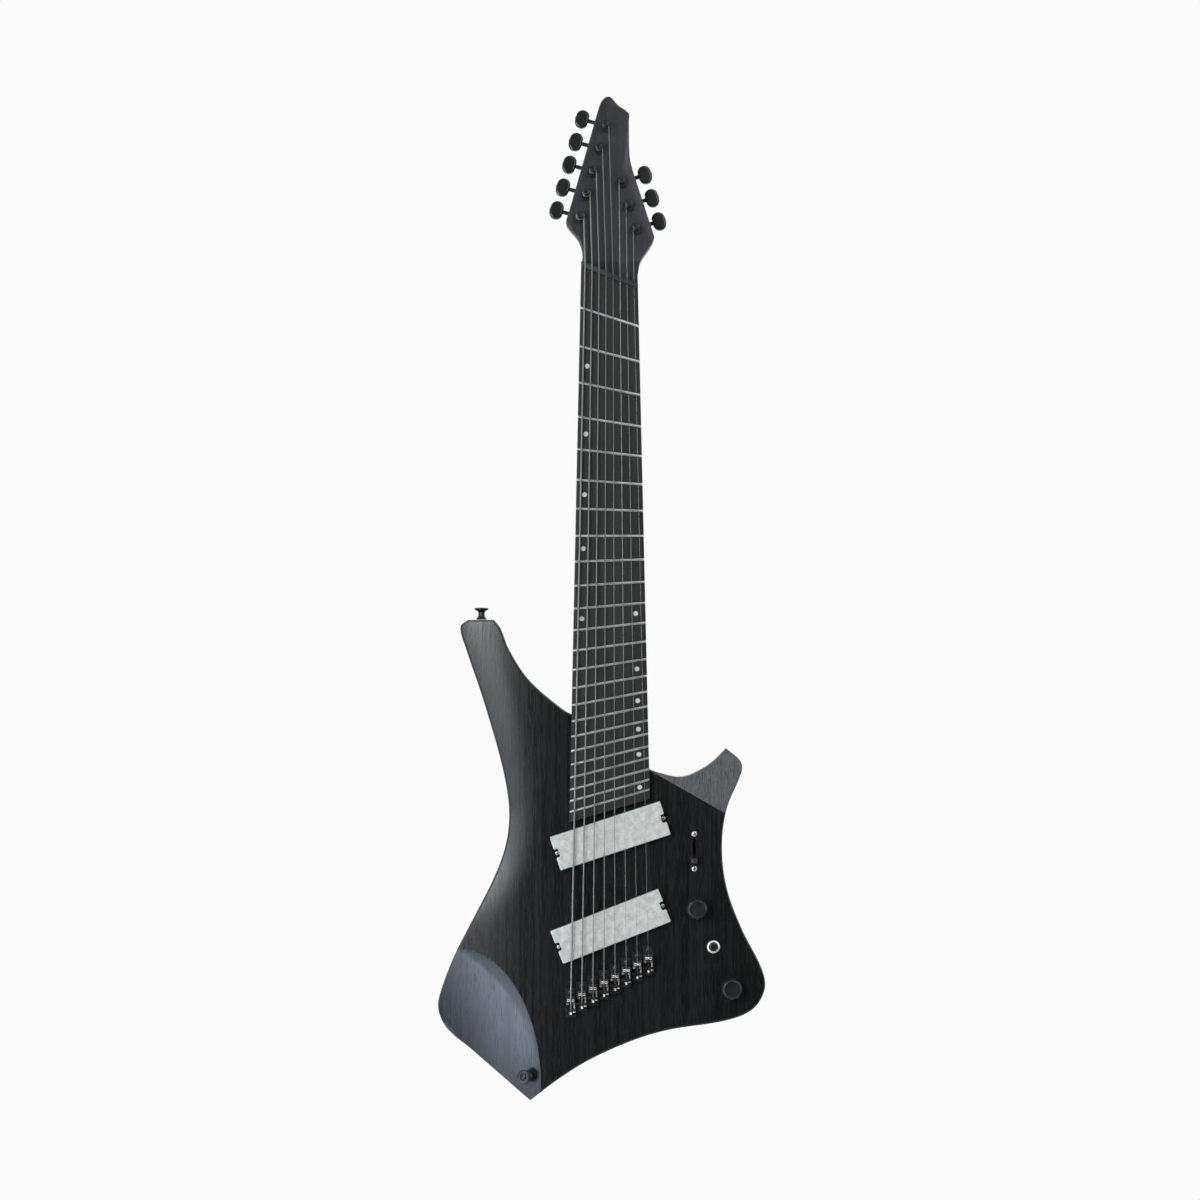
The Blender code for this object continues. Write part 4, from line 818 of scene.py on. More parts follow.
def body_tools():
    """Pieces that are cut out of the body's slab."""
    high, deep = BODY_THICK + BEYOND, CAVITY_CEILING - BEYOND
    tip = 0.01 * MM
    radii = [tip] + [SCOOP_RADIUS - SCOOP_WIDE * k / 20 for k in range(20, -1, -1)]
    wide = SCOOP_RADIUS + SCOOP_RISE / tan(SCOOP_ANGLE)
    rim = [(wide, SCOOP_RISE), (wide, SCOOP_RISE + BEYOND)]
    tools = [placed(turned([(r, scoop_level(r)) for r in radii] + rim, 256), scoop_matrix())]
    x, z = HORN_BEVEL_POINT
    bevel = block((5 * BODY_THICK, 2 * BODY_THICK, BODY_THICK), (BODY_THICK, BODY_THICK, BODY_THICK / 2))
    slope = spun(HORN_BEVEL_HEADING, "Z") @ spun(-HORN_BEVEL_SLOPE, "X")
    tools.append(placed(bevel, moved(x, -BODY_THICK, z) @ FRONT @ slope))

    x, z = BELLY_AT
    low = BELLY_RADIUS - BELLY_DEPTH
    reach = acos((low - BEYOND / 2) / BELLY_RADIUS)
    arc = [tip] + [reach * k / 16 for k in range(1, 17)]
    dish = turned([(BELLY_RADIUS * sin(a), low - BELLY_RADIUS * cos(a)) for a in arc], 128)
    tools.append(placed(dish, moved(x, 0, z) @ BACK))

    low = fret_fraction(BOARD_END_FRET)
    ring = []
    for side in (-1, 1):
        x, z = string_point(board_edge(side, low), low)
        ring.append((x + side * GAP, z - GAP))
    end = z + 0.1
    ring += [(edge_across(side, end) + side * GAP, end) for side in (1, -1)]
    tools.append(placed(plate(ring, POCKET_FLOOR, high), FRONT))
    size = (PICKUP_LENGTH + 2 * PICKUP_CLEARANCE, PICKUP_WIDTH + 2 * PICKUP_CLEARANCE)
    for name in PICKUPS:
        rout = rounded(rectangle(*size), PICKUP_CORNER + PICKUP_CLEARANCE)
        tools.append(placed(plate(rout, PICKUP_FLOOR, high), pickup_frame(name)))

    slot = rounded(rectangle(*SWITCH_SLOT, SELECTOR_AT), SWITCH_SLOT[0] * 0.4)
    door = (DOOR_SIZE[0] + 2 * GAP, DOOR_SIZE[1] + GAP + DOOR_RELIEF)
    middle = (BATTERY_AT[0], BATTERY_AT[1] + (GAP - DOOR_RELIEF) / 2)
    for ring, start, stop in ((cover_ring(-COVER_LEDGE), -BEYOND, CAVITY_CEILING),
                              (cover_ring(GAP), -BEYOND, COVER_THICK + GAP), (slot, deep, high),
                              (rounded(rectangle(*BAY_SIZE, BATTERY_AT), 2 * MM), -BEYOND, BAY_DEPTH),
                              (rectangle(*door, middle), -BEYOND, DOOR_THICK + GAP)):
        tools.append(placed(plate(ring, start, stop), FRONT))
    holes = ((VOLUME_AT, BUSHING_RADIUS), (TONE_AT, BUSHING_RADIUS), (KILL_AT, KILL_BODY_RADIUS))
    for (x, z), radius in holes:
        tools.append(placed(turned(((radius + GAP, deep), (radius + GAP, high))), moved(x, 0, z) @ FRONT))
    x, level = JACK_AT
    for radius, past in JACK_BORES:
        bore = turned(((radius, JACK_SEAT - 3 * BEYOND), (radius, JACK_SEAT + past)), 48)
        tools.append(placed(bore, moved(x, -level, 0)))
    return tools


def on_scoop(point):
    """Whether a point lies on the floor of the scoop."""
    local = scoop_matrix().inverted() @ point
    return abs(local.z - scoop_level(local.to_2d().length)) < 0.1 * MM


def body_piece():
    slab = plate(curved_ring(BODY_KNOTS, CURVE_STEPS), 0, BODY_THICK)
    rim_rounded(slab, BODY_THICK, FRONT_ROUND, 6)
    rim_rounded(slab, 0, BACK_ROUND, 7)
    across = (ROLL_START - BODY_ARM_SIDE) / ROLL_STRIPS
    along = (BODY_UPPER_END - WAIST_FROM) / ROLL_STRIPS
    with editing(slab, "VERT", True):
        for k in range(ROLL_STRIPS):
            for place, normal in (((ROLL_START - k * across, 0, 0), (1, 0, 0)),
                                  ((0, WAIST_FROM + k * along, 0), (0, 1, 0))):
                bpy.ops.mesh.select_all(action="SELECT")
                bpy.ops.mesh.bisect(plane_co=place, plane_no=normal)
    for vert in slab.data.vertices:
        if vert.co.z > BODY_THICK / 2:
            vert.co.z -= roll_drop(vert.co.x, vert.co.y)
    placed(slab, FRONT)
    cut(slab, *body_tools())
    with editing(slab, "EDGE"):
        pick(slab, "edges", lambda e: len(e.link_faces) == 2 and e.calc_face_angle(0) > radians(4) and
             sum(on_scoop(f.calc_center_median()) for f in e.link_faces) == 1)
        bpy.ops.mesh.mark_sharp()
    return finished(slab, "body_block", BODY_WOOD, replaces="body", angle=17)


def neck_piece():
    neck = copied(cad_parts["neck"])
    neck.parent = None
    for key in list(neck.keys()):
        del neck[key]
    welded(neck)
    return finished(neck, "neck_blank", NECK_WOOD, replaces="neck", angle=30)


# Fretboard, frets and dots

def between_frets(fret):
    return (fret_fraction(fret) + fret_fraction(fret - 1)) / 2


def board_place(share, f, along=0, level=0):
    """Point at a share across the board, at share f up from the bridge and along it, over the board's top."""
    left, right = board_edge(-1, f), board_edge(1, f)
    x, z = string_point(left + (right - left) * share, f)
    return Vector(frontal(x, z + along, BOARD_TOP + level - radius_drop(x)))


def board_piece():
    low = fret_fraction(BOARD_END_FRET)
    top = [(k / FRET_STRIPS, 1) for k in range(FRET_STRIPS + 1)]
    stops = [low + (1 - low) * k / BOARD_RINGS for k in range(BOARD_RINGS + 1)]
    board = plate([(0, 0)] + top + [(1, 0)], *stops)
    for vert in board.data.vertices:
        share, up, f = vert.co
        point = board_place(share, f)
        vert.co = point if up > 0.5 else (point.x, -NECK_FACE - GAP, point.z)
    welded(board)
    with editing(board, "EDGE"):
        pick(board, "edges", lambda e: e.calc_face_angle(0) > radians(60) and
             abs(e.verts[0].co.z - e.verts[1].co.z) > 15 * MM and e.verts[0].co.y < -NECK_FACE - 2 * MM)
        bpy.ops.mesh.bevel(offset=0.5 * MM, segments=3, affect="EDGES")
    return finished(board, "fretboard_wood", BOARD_WOOD, replaces="fretboard")


def fret_pieces():
    half = [(0.5, 0), (0.46, 0.42), (0.32, 0.78), (0.12, 0.97)]
    crown = [(-x, y) for x, y in half] + half[::-1]
    model = plate(crown, *[k / FRET_STRIPS for k in range(FRET_STRIPS + 1)])
    for fret in range(1, FRETS + 1):
        wire = copied(model)
        for vert in wire.data.vertices:
            along, rise, share = vert.co
            end = (1 if share < 0.001 else -1 if share > 0.999 else 0) * FRET_END_SLOPE
            point = board_place(share, fret_fraction(fret), along * FRET_WIDTH, rise * FRET_HEIGHT)
            vert.co = point + Vector((end * rise * FRET_HEIGHT, 0, 0))
        welded(wire)
        finished(wire, f"fret_{fret}", FRET_METAL, angle=40)
    bpy.data.objects.remove(model)


def dot_pieces():
    dot = turned(profile((0, -0.6), (0, 0), (-0.1, 0.03), at=(DOT_RADIUS, 0)), 32)
    for hand, side, frets in (("bass", -1, DOTS_BASS), ("treble", 1, DOTS_TREBLE)):
        for fret in frets:
            f = between_frets(fret)
            half = string_point(board_edge(1, f), f)[0]
            x = side * (half - DOT_FROM_EDGE[side > 0])
            place = moved(*board_place((x + half) / (2 * half), f)) @ spun(x / BOARD_RADIUS, "Z") @ FRONT
            set_in(dot, f"dot_{fret}_{hand}", place, DOT_PALE)
    dot = turned(profile((0, -0.4), (0, 0.02), at=(SIDE_DOT_RADIUS, 0)), 20)
    for fret in sorted({*DOTS_BASS, *DOTS_TREBLE}):
        f = between_frets(fret)
        x, z = string_point(board_edge(-1, f), f)
        for k, shift in enumerate((-4 * MM, 4 * MM) if fret in OCTAVES else (0,)):
            place = moved(x, -NECK_FACE - GAP - BOARD_THICK * 0.45, z + shift)
            set_in(dot, f"side_dot_{fret}_{k}", place @ spun(-pi / 2, "Y"), DOT_PALE)


# Screws

def hex_ring(radius):
    return [(radius * cos(tau * k / 6), radius * sin(tau * k / 6)) for k in range(6)]


def screw_head(radius, height, dome, steps):
    return turned([(radius * r, height * h) for r, h in ((1, 0), *dome)], steps)


def socket_screw(radius, height):
    """Screw head with a hexagon socket, its seat at the origin."""
    head = screw_head(radius, height, ((1, 0.75), (0.94, 0.93), (0.84, 1)), 20)
    return cut(head, plate(hex_ring(radius * 0.52), height * 0.35, height * 1.5))


def cross_screw(radius, height, steps=28):
    """Domed screw head with a cross recess, its seat at the origin."""
    head = screw_head(radius, height, ((1, 0.3), (0.92, 0.62), (0.7, 0.88), (0.35, 1)), steps)
    return cut(head, *[block((radius * a, radius * b, height), (0, 0, height * 1.05))
                       for a, b in ((1.15, 0.24), (0.24, 1.15))])


# Pickups

def pickup_pieces():
    deep, wide = PICKUP_NOTCH
    half, side = PICKUP_LENGTH / 2, PICKUP_WIDTH / 2
    ring = [(half - deep, wide / 2), (half, wide / 2), (half, side), (-half, side), (-half, wide / 2),
            (-half + deep, wide / 2)]
    ring += [(x, -z) for x, z in reversed(ring)]
    cover = plate(ring, PICKUP_FLOOR + GAP, PICKUP_TOP)
    with editing(cover, "EDGE"):
        pick(cover, "edges", lambda e: abs(e.verts[0].co.z - e.verts[1].co.z) > MM)
        bpy.ops.mesh.bevel(offset=1.1 * MM, segments=4, affect="EDGES")
    rim_rounded(cover, PICKUP_TOP, 0.9 * MM, 4)
    middle = half - deep / 2
    ear = block((deep * 0.95, wide * 0.9, 1.2 * MM), (middle, 0, PICKUP_EAR - 0.6 * MM))
    softened(ear, 0.2 * MM, 2)
    screw = cross_screw(1.9 * MM, 1.3 * MM)
    shank = turned(profile((0.8, 36), (0.8, 46)), 16)
    for name in PICKUPS:
        place = pickup_frame(name)
        set_in(cover, f"{name}_cover", place, COVER_SATIN, replaces=name)
        for k in range(2):
            end = place @ spun(pi * k, "Z")
            set_in(ear, f"{name}_ear_{k}", end, BLACK_SATIN)
            set_in(screw, f"{name}_screw_{k}", end @ moved(middle, 0, PICKUP_EAR), SCREW_METAL)
            set_in(shank, f"{name}_shank_{k}", end @ moved(middle, 0, 0), SCREW_METAL)


# Bridges

def bridge_pieces():
    bottom = BODY_THICK + GAP
    rear = -BRIDGE_TAIL - BALL_LENGTH / 2 - GAP - BRIDGE_LIP
    wall = -BRIDGE_TAIL + BALL_LENGTH / 2 + GAP
    high = 2 * BALL_RADIUS + 1.5 * MM + BRIDGE_PLATE
    walls = ((rear, BRIDGE_NOSE - rear, BRIDGE_PLATE), (wall, ANCHOR_WALL, high),
             (rear, BRIDGE_LIP, BALL_RADIUS + BRIDGE_PLATE))
    base, tower, lip = [block((BRIDGE_WIDTH, long, tall), (0, start + long / 2, bottom + tall / 2))
                        for start, long, tall in walls]
    slot = block((2.2 * MM, 3 * ANCHOR_WALL, high),
                 (0, wall + ANCHOR_WALL / 2, PLATE_TOP + 1 * MM + high / 2))
    cut(base, tower, lip, operation="UNION")
    cut(base, slot, turned(profile((2.9, -0.9), (3, 1), at=(0, PLATE_TOP)), 32))
    softened(base, 0.35 * MM, 2)

    saddle = block((BRIDGE_WIDTH - 1.2 * MM, 8 * MM, 6.4 * MM), (0, 0, -4.4 * MM))
    with editing(saddle, "FACE"):
        pick(saddle, "faces", lambda f: f.normal.z > 0.9)
        bpy.ops.mesh.inset(thickness=1.6 * MM)
        bpy.ops.transform.translate(value=(0, 0, 1 * MM))
    softened(saddle, 0.4 * MM, 3)
    roller = turned(profile((1.6, -3.4), (1.9, -3.1), (1.9, -0.9), (1.5, 0), (1.9, 0.9), (1.9, 3.1),
                            (1.6, 3.4)), 32)
    placed(roller, moved(0, 0.4 * MM, -1.7 * MM) @ spun(pi / 2, "Y"))
    height_screw = socket_screw(1.1 * MM, 1.2 * MM)
    leg = turned(profile((0.7, -9.3), (0.9, -9), (0.9, -6)), 16)
    length_screw = socket_screw(1.25 * MM, 1.5 * MM)
    rod = turned(((0.75 * MM, 0), (0.75 * MM, -wall - 4 * MM)), 16)
    plate_screw = cross_screw(2.6 * MM, 1.5 * MM)
    for index in range(STRINGS):
        name = f"bridge_{STRINGS - index}"
        x, z = saddle_spot(index)
        place = moved(x, 0, z) @ FRONT
        top = place @ moved(0, 0, string_floor(x, 0) - GAP / 3)
        set_in(base, f"{name}_base", place, BLACK_SATIN, replaces=name)
        set_in(saddle, f"{name}_saddle", top, BLACK_SATIN)
        set_in(roller, f"{name}_roller", top, BRIGHT_METAL)
        for k, side in enumerate((-3 * MM, 3 * MM)):
            at = top @ moved(side, -2.8 * MM, 0)
            set_in(height_screw, f"{name}_height_screw_{k}", at @ moved(0, 0, -1 * MM), SCREW_METAL)
            set_in(leg, f"{name}_leg_{k}", at, SCREW_METAL)
        back = place @ moved(3.4 * MM, wall, PLATE_TOP + 2.4 * MM)
        set_in(length_screw, f"{name}_length_screw", back @ spun(pi / 2, "X"), SCREW_METAL)
        set_in(rod, f"{name}_length_rod", back @ spun(-pi / 2, "X"), SCREW_METAL)
        front = place @ moved(0, 8 * MM, PLATE_TOP - 0.9 * MM)
        set_in(plate_screw, f"{name}_plate_screw", front, BLACK_METAL)


# Strings

def wound_points(number, index):
    """Points of a string from the nut to the end of its turns on the post."""
    head = head_matrix()
    spot = next(row for row in tuner_rows() if row[0] == number)
    r = string_radius(index)
    x, z = string_point(index / (STRINGS - 1), 1)
    lean = atan2(string_point(0, 1)[1] - string_point(1, 1)[1], NUT_SPREAD)
    rear = Vector(frontal(x, z + GAP + NUT_THICK / cos(lean), string_floor(x, 1) + r))
    centre = Vector(spot[1:3])
    reach = (head.inverted() @ rear).to_2d() - centre
    ring = POST_WAIST + GAP / 3 + r
    wind = -spot[4]
    angle = atan2(reach.y, reach.x) + wind * acos(ring / reach.length)
    made = [rear]
    for k in range(int(WRAP_TURNS * WRAP_STEPS) + 1):
        turn = angle + wind * tau * k / WRAP_STEPS
        height = WRAP_TOP - r - (2 * r + WRAP_SPACE) * k / WRAP_STEPS
        made.append(head @ Vector((centre.x + ring * cos(turn), centre.y + ring * sin(turn), height)))
    return made


def wire_along(path, radius):
    """Round wire through the points, its ends closed."""
    curve = bpy.data.curves.new("wire", "CURVE")
    curve.dimensions = "3D"
    curve.bevel_depth = radius
    curve.bevel_resolution = 2
    curve.use_fill_caps = True
    spline = curve.splines.new("POLY")
    spline.points.add(len(path) - 1)
    for point, place in zip(spline.points, path):
        point.co = (*place, 1)
    wire = bpy.data.objects.new("wire", curve)
    bpy.context.scene.collection.objects.link(wire)
    alone(wire)
    bpy.ops.object.convert(target="MESH")
    return welded(bpy.context.view_layer.objects.active)


def string_pieces():
    end = BALL_LENGTH / 2
    ball = tube(((0.7 * MM, -end), (1.3 * MM, -end), (BALL_RADIUS, -1 * MM), (1.5 * MM, 0),
                 (BALL_RADIUS, 1 * MM), (1.3 * MM, end), (0.7 * MM, end)), 28)
    for index in range(STRINGS):
        number = STRINGS - index
        r = string_radius(index)
        x, z = saddle_spot(index)
        level, crest = PLATE_TOP + GAP + BALL_RADIUS, string_floor(x, 0) + r
        tail = z - BRIDGE_TAIL
        nut_x, nut_z = string_point(index / (STRINGS - 1), 1)
        path = [frontal(x, tail - 0.5 * MM, level), frontal(x, tail + end, level)]
        path += [frontal(x, z + along * MM, crest + over * MM)
                 for along, over in ((-2.2, -1.1), (-1.2, -0.3), (-0.3, 0))]
        path += [frontal(nut_x, nut_z, string_floor(nut_x, 1) + r), *wound_points(number, index)]
        finish = STRING_WOUND if index < WOUND else STRING_STEEL
        finished(wire_along(path, r), f"string_{number}_wire", finish, replaces=f"string_{number}", angle=50)
        set_in(ball, f"string_{number}_ball", moved(*frontal(x, tail, level)), BRIGHT_METAL)


# Controls

def knob_pieces():
    base, top = BODY_THICK + KNOB_LIFT, BODY_THICK + KNOB_LIFT + KNOB_HEIGHT
    r = KNOB_RADIUS
    model = turned([(3.2 * MM, base + 4 * MM),
                    *profile((-2.6, 4), (-2.6, 0), (-0.4, 0), (0, 0.5), (0, 1.6), (-0.1, 2), at=(r, base)),
                    *profile((-0.45, -3.2), (-0.6, -2.7), (-1, -1.6), (-1.7, -0.6), (-2.5, -0.1), (-3.2, 0),
                             (-4, -0.15), at=(r, top)), (2 * MM, top - 0.2 * MM)], KNOB_FLUTES * 6)
    for vert in model.data.vertices:
        out = vert.co.to_2d().length
        if base + 1.8 * MM < vert.co.z < top - 2.9 * MM and out > r - 1 * MM:
            share = (atan2(vert.co.y, vert.co.x) / tau * KNOB_FLUTES) % 1
            dip = KNOB_FLUTE_DEEP * (0.5 + 0.5 * cos(tau * share))
            vert.co.x *= 1 - dip / out
            vert.co.y *= 1 - dip / out
    screw = socket_screw(1.3 * MM, 0.5 * MM)
    shaft = turned(((3 * MM, 30 * MM), (3 * MM, base + 5 * MM)), 24)
    for name, (x, z) in (("volume_knob", VOLUME_AT), ("tone_knob", TONE_AT)):
        place = moved(x, 0, z) @ FRONT
        cap = placed(joined(copied(model), copied(shaft)), place)
        finished(cap, f"{name}_cap", BLACK_METAL, name, name, 28)
        side = moved(0, -(r - 0.7 * MM), base + 6 * MM) @ spun(pi / 2, "X")
        set_in(screw, f"{name}_screw", place @ side, SCREW_METAL, name)
    for used in (model, shaft):
        bpy.data.objects.remove(used)


def kill_pieces():
    seat, bore = BODY_THICK + GAP, KILL_BUTTON_RADIUS + GAP
    face, low = seat + BEZEL_THICK, seat - KILL_BODY_LONG
    bezel = tube([(bore, seat),
                  *profile((0, 0), (0, 0.4), (-0.15, 0.7), (-0.5, 1.1), at=(BEZEL_RADIUS, seat)),
                  *profile((-1, -0.15), (-1.4, 0), at=(BEZEL_RADIUS, face)),
                  *profile((0.3, 0), (0, -0.3), at=(bore, face))], 64)
    groove = KILL_BODY_RADIUS - 0.4 * MM
    barrel = [(bore, low), (groove, low)]
    for k in range(18):
        level = low + k * 1.1 * MM
        barrel += [(groove, level + 0.2 * MM), (KILL_BODY_RADIUS, level + 0.55 * MM),
                   (groove, level + 0.9 * MM)]
    barrel += [(groove, seat), (bore, seat)]
    sleeve = tube(barrel, 40)
    r, top = KILL_BUTTON_RADIUS, face + KILL_BUTTON_RISE
    button = turned([(r, BODY_THICK - KILL_SOCKET + KILL_TRAVEL + GAP),
                     *profile((0, -1), (-0.15, -0.6), (-0.5, -0.25), (-1.1, -0.1), (-2, 0), at=(r, top)),
                     (0.6 * MM, top)], 48)
    place = moved(KILL_AT[0], 0, KILL_AT[1]) @ FRONT
    finished(placed(bezel, place), "kill_switch_bezel", SATIN_METAL, replaces="kill_switch")
    finished(placed(sleeve, place), "kill_switch_barrel", BLACK_PLASTIC)
    finished(placed(button, place), "kill_button_cap", GLOSS_PLASTIC, "kill_button", "kill_button")


def selector_pieces():
    reach = BODY_THICK - LEVER_PIVOT
    low = reach + 2 * MM
    blade = softened(block((1.6 * MM, 4 * MM, reach + 8 * MM), (0, 0, reach / 2 + 1 * MM)), 0.3 * MM, 2)
    tip = plate(rounded(rectangle(7.6 * MM, 6.4 * MM), 2.6 * MM), low, LEVER_REACH)
    with editing(tip, "FACE"):
        pick(tip, "faces", lambda f: f.normal.z > 0.9)
        bpy.ops.transform.resize(value=(0.82, 0.82, 1), center_override=(0, 0, LEVER_REACH))
    rim_rounded(tip, LEVER_REACH, 1.3 * MM, 5)
    rim_rounded(tip, low, 0.6 * MM, 3)
    place = moved(*frontal(*SELECTOR_AT, LEVER_PIVOT)) @ spun(pi / 2 + LEVER_SWING, "X")
    finished(placed(blade, place), "selector_blade", BRIGHT_METAL, "selector_lever", "selector_lever")
    finished(placed(tip, place), "selector_tip", GLOSS_PLASTIC, "selector_lever")
    screw = cross_screw(2.7 * MM, 1.4 * MM)
    for k, side in enumerate((-1, 1)):
        spot = frontal(SELECTOR_AT[0], SELECTOR_AT[1] + side * SELECTOR_SCREWS, BODY_THICK)
        set_in(screw, f"selector_screw_{k}", moved(*spot) @ FRONT, SCREW_METAL)


# Back, edges and small hardware

def cover_pieces():
    cover = plate(cover_ring(0), 0, COVER_THICK)
    rim_rounded(cover, 0, 0.4 * MM, 3)
    finished(placed(cover, FRONT), "control_cover_plate", BLACK_PLASTIC, replaces="control_cover")
    screw = cross_screw(2.5 * MM, 0.9 * MM)
    for k, (x, z) in enumerate(offset([(x * MM, z * MM) for x, z in COVER_CORNERS], -3.9 * MM)):
        set_in(screw, f"control_cover_screw_{k}", moved(x, -0.2 * MM, z) @ BACK, SCREW_METAL)


def door_pieces():
    x, z = BATTERY_AT
    wide, long = DOOR_SIZE
    end = z + long / 2
    door = plate(rectangle(wide, long, (x, z)), 0, DOOR_THICK)
    rim_rounded(door, 0, 0.5 * MM, 3)
    cut(door, plate(rounded(rectangle(11 * MM, 5 * MM, (x, end - 4.5 * MM)), 2 * MM), -1 * MM, 0.9 * MM))
    for k in range(5):
        cut(door, block((15 * MM, 0.7 * MM, 0.8 * MM), (x, end - 11 * MM - k * 1.8 * MM, 0)))
    finished(placed(door, FRONT), "battery_door", BLACK_PLASTIC, "battery_door", "battery_cover")
    pin = turned(((0.7 * MM, -wide / 2 - 2 * MM), (0.7 * MM, wide / 2 + 2 * MM)), 20)
    hinge = moved(x, -DOOR_THICK / 2, z - long / 2 + DOOR_THICK / 2) @ spun(pi / 2, "Y")
    finished(placed(pin, hinge), "battery_door_pin", SCREW_METAL, "battery_door")


def bolt_pieces():
    ferrule = tube(profile((3.2, -1.5), (6.5, -1.5), (6.5, 0.4), (6.1, 0.8), (4.6, 0.8), (3.2, -0.4)), 48)
    bolt = cross_screw(3.9 * MM, 1.5 * MM, 36)
    for k, (x, z) in enumerate(NECK_BOLTS):
        seat = moved(x * MM, 0, z * MM) @ BACK
        set_in(ferrule, f"neck_ferrule_{k}", seat, BLACK_METAL)
        set_in(bolt, f"neck_bolt_{k}", seat @ moved(0, 0, -0.3 * MM), SCREW_METAL)


def jack_pieces():
    x, level = JACK_AT
    flange = tube(profile((3.25, 0), (10.2, 0), (10.8, 0.3), (11, 1), (11, 2.5), (6, 2.5), (6, 20),
                          (3.25, 20)), 64)
    thread = tube(profile((3.4, -1.7), (4.6, -1.7), (4.6, 0), (3.4, 0)), 40)
    ring = cut(plate(hex_ring(7.2 * MM), -1.4 * MM, 0), turned(profile((4.5, -3), (4.5, 1)), 40))
    softened(ring, 0.3 * MM, 2)
    place = moved(x, -level, JACK_SEAT - GAP - 2.5 * MM)
    finished(placed(flange, place), "jack_flange", BRIGHT_METAL, replaces="output_jack")
    finished(placed(ring, place), "jack_nut", BRIGHT_METAL)
    finished(placed(thread, place), "jack_thread", SCREW_METAL)


def battery_pieces():
    """Nine volt block, its snap terminals towards the neck."""
    wide, thick, long = BATTERY_SIZE
    top = long - BATTERY_SNAPS
    case = plate(rounded(rectangle(wide, thick), 2.4 * MM), 0, top)
    with editing(case, "FACE"):
        pick(case, "faces", lambda f: abs(f.normal.z) > 0.9)
        bpy.ops.mesh.inset(thickness=1.1 * MM)
        bpy.ops.transform.resize(value=(1, 1, 1 - 1.6 * MM / top), center_override=(0, 0, top / 2))
    softened(case, 0.3 * MM, 3)
    ring = rounded(rectangle(wide - 3.4 * MM, thick - 3.4 * MM), 1.6 * MM)
    card = softened(plate(ring, top - 1.2 * MM, top - 0.2 * MM), 0.15 * MM, 2)
    stud = turned([*profile((3.6, -0.4), (3.6, 0.2), (2.6, 0.3), (2.6, 1.2), (2.9, 1.7), at=(0, top)),
                   *profile((2.6, -0.2), (2.1, 0), at=(0, long))], 32)
    clasp = cut(plate(hex_ring(4.6 * MM), top - 0.4 * MM, long - 0.1 * MM),
                turned(((2.9 * MM, top + 0.5 * MM), (3.2 * MM, long + 1 * MM)), 32))
    softened(clasp, 0.25 * MM, 2)
    place = moved(BATTERY_AT[0], -(BAY_DEPTH - GAP - thick / 2), BATTERY_AT[1] - long / 2)
    finished(placed(case, place), "battery_case", CELL_CASE, replaces="battery")
    finished(placed(card, place), "battery_card", BLACK_PLASTIC)
    for side, snap, name in ((-1, stud, "stud"), (1, clasp, "clasp")):
        at = moved(side * SNAP_SPACING / 2, 0, 0)
        finished(placed(snap, place @ at), f"battery_{name}", BRIGHT_METAL)


def strap_pieces():
    foot, waist, head, top = 5 * MM, 3.2 * MM, 7 * MM, 11.5 * MM
    button = turned([*profile((0, 0), (0.2, 0.4), (0, 1.1), at=(foot, 0)),
                     *profile((0.9, 2.2), (0, 3.8), at=(waist, 0)),
                     *profile((0, -4.2), (0.9, -3.2), at=(waist, top)),
                     *profile((-0.6, -2.1), (0, -1.5), (-0.1, -0.8), (-0.7, -0.2), (-1.3, 0), at=(head, top)),
                     *profile((3.4, 0), (3, -0.8), at=(0, top))], 56)
    screw = cross_screw(2.8 * MM, 1.1 * MM)
    upper = moved(STRAP_UPPER_AT[0], -STRAP_UPPER_AT[1], BODY_UPPER_END + GAP)
    away, direction = STRAP_LOWER_AT
    tilt = atan2(scoop_level(away + foot) - scoop_level(away - foot), 2 * foot)
    lower = spun(direction, "Z") @ moved(away, 0, scoop_level(away)) @ spun(-tilt, "Y") @ moved(0, 0, GAP)
    for name, place in (("strap_button_upper", upper), ("strap_button_lower", scoop_matrix() @ lower)):
        set_in(button, f"{name}_turned", place, BLACK_METAL, replaces=name)
        set_in(screw, f"{name}_screw", place @ moved(0, 0, top - 0.9 * MM), BLACK_METAL)


# Tuning machines

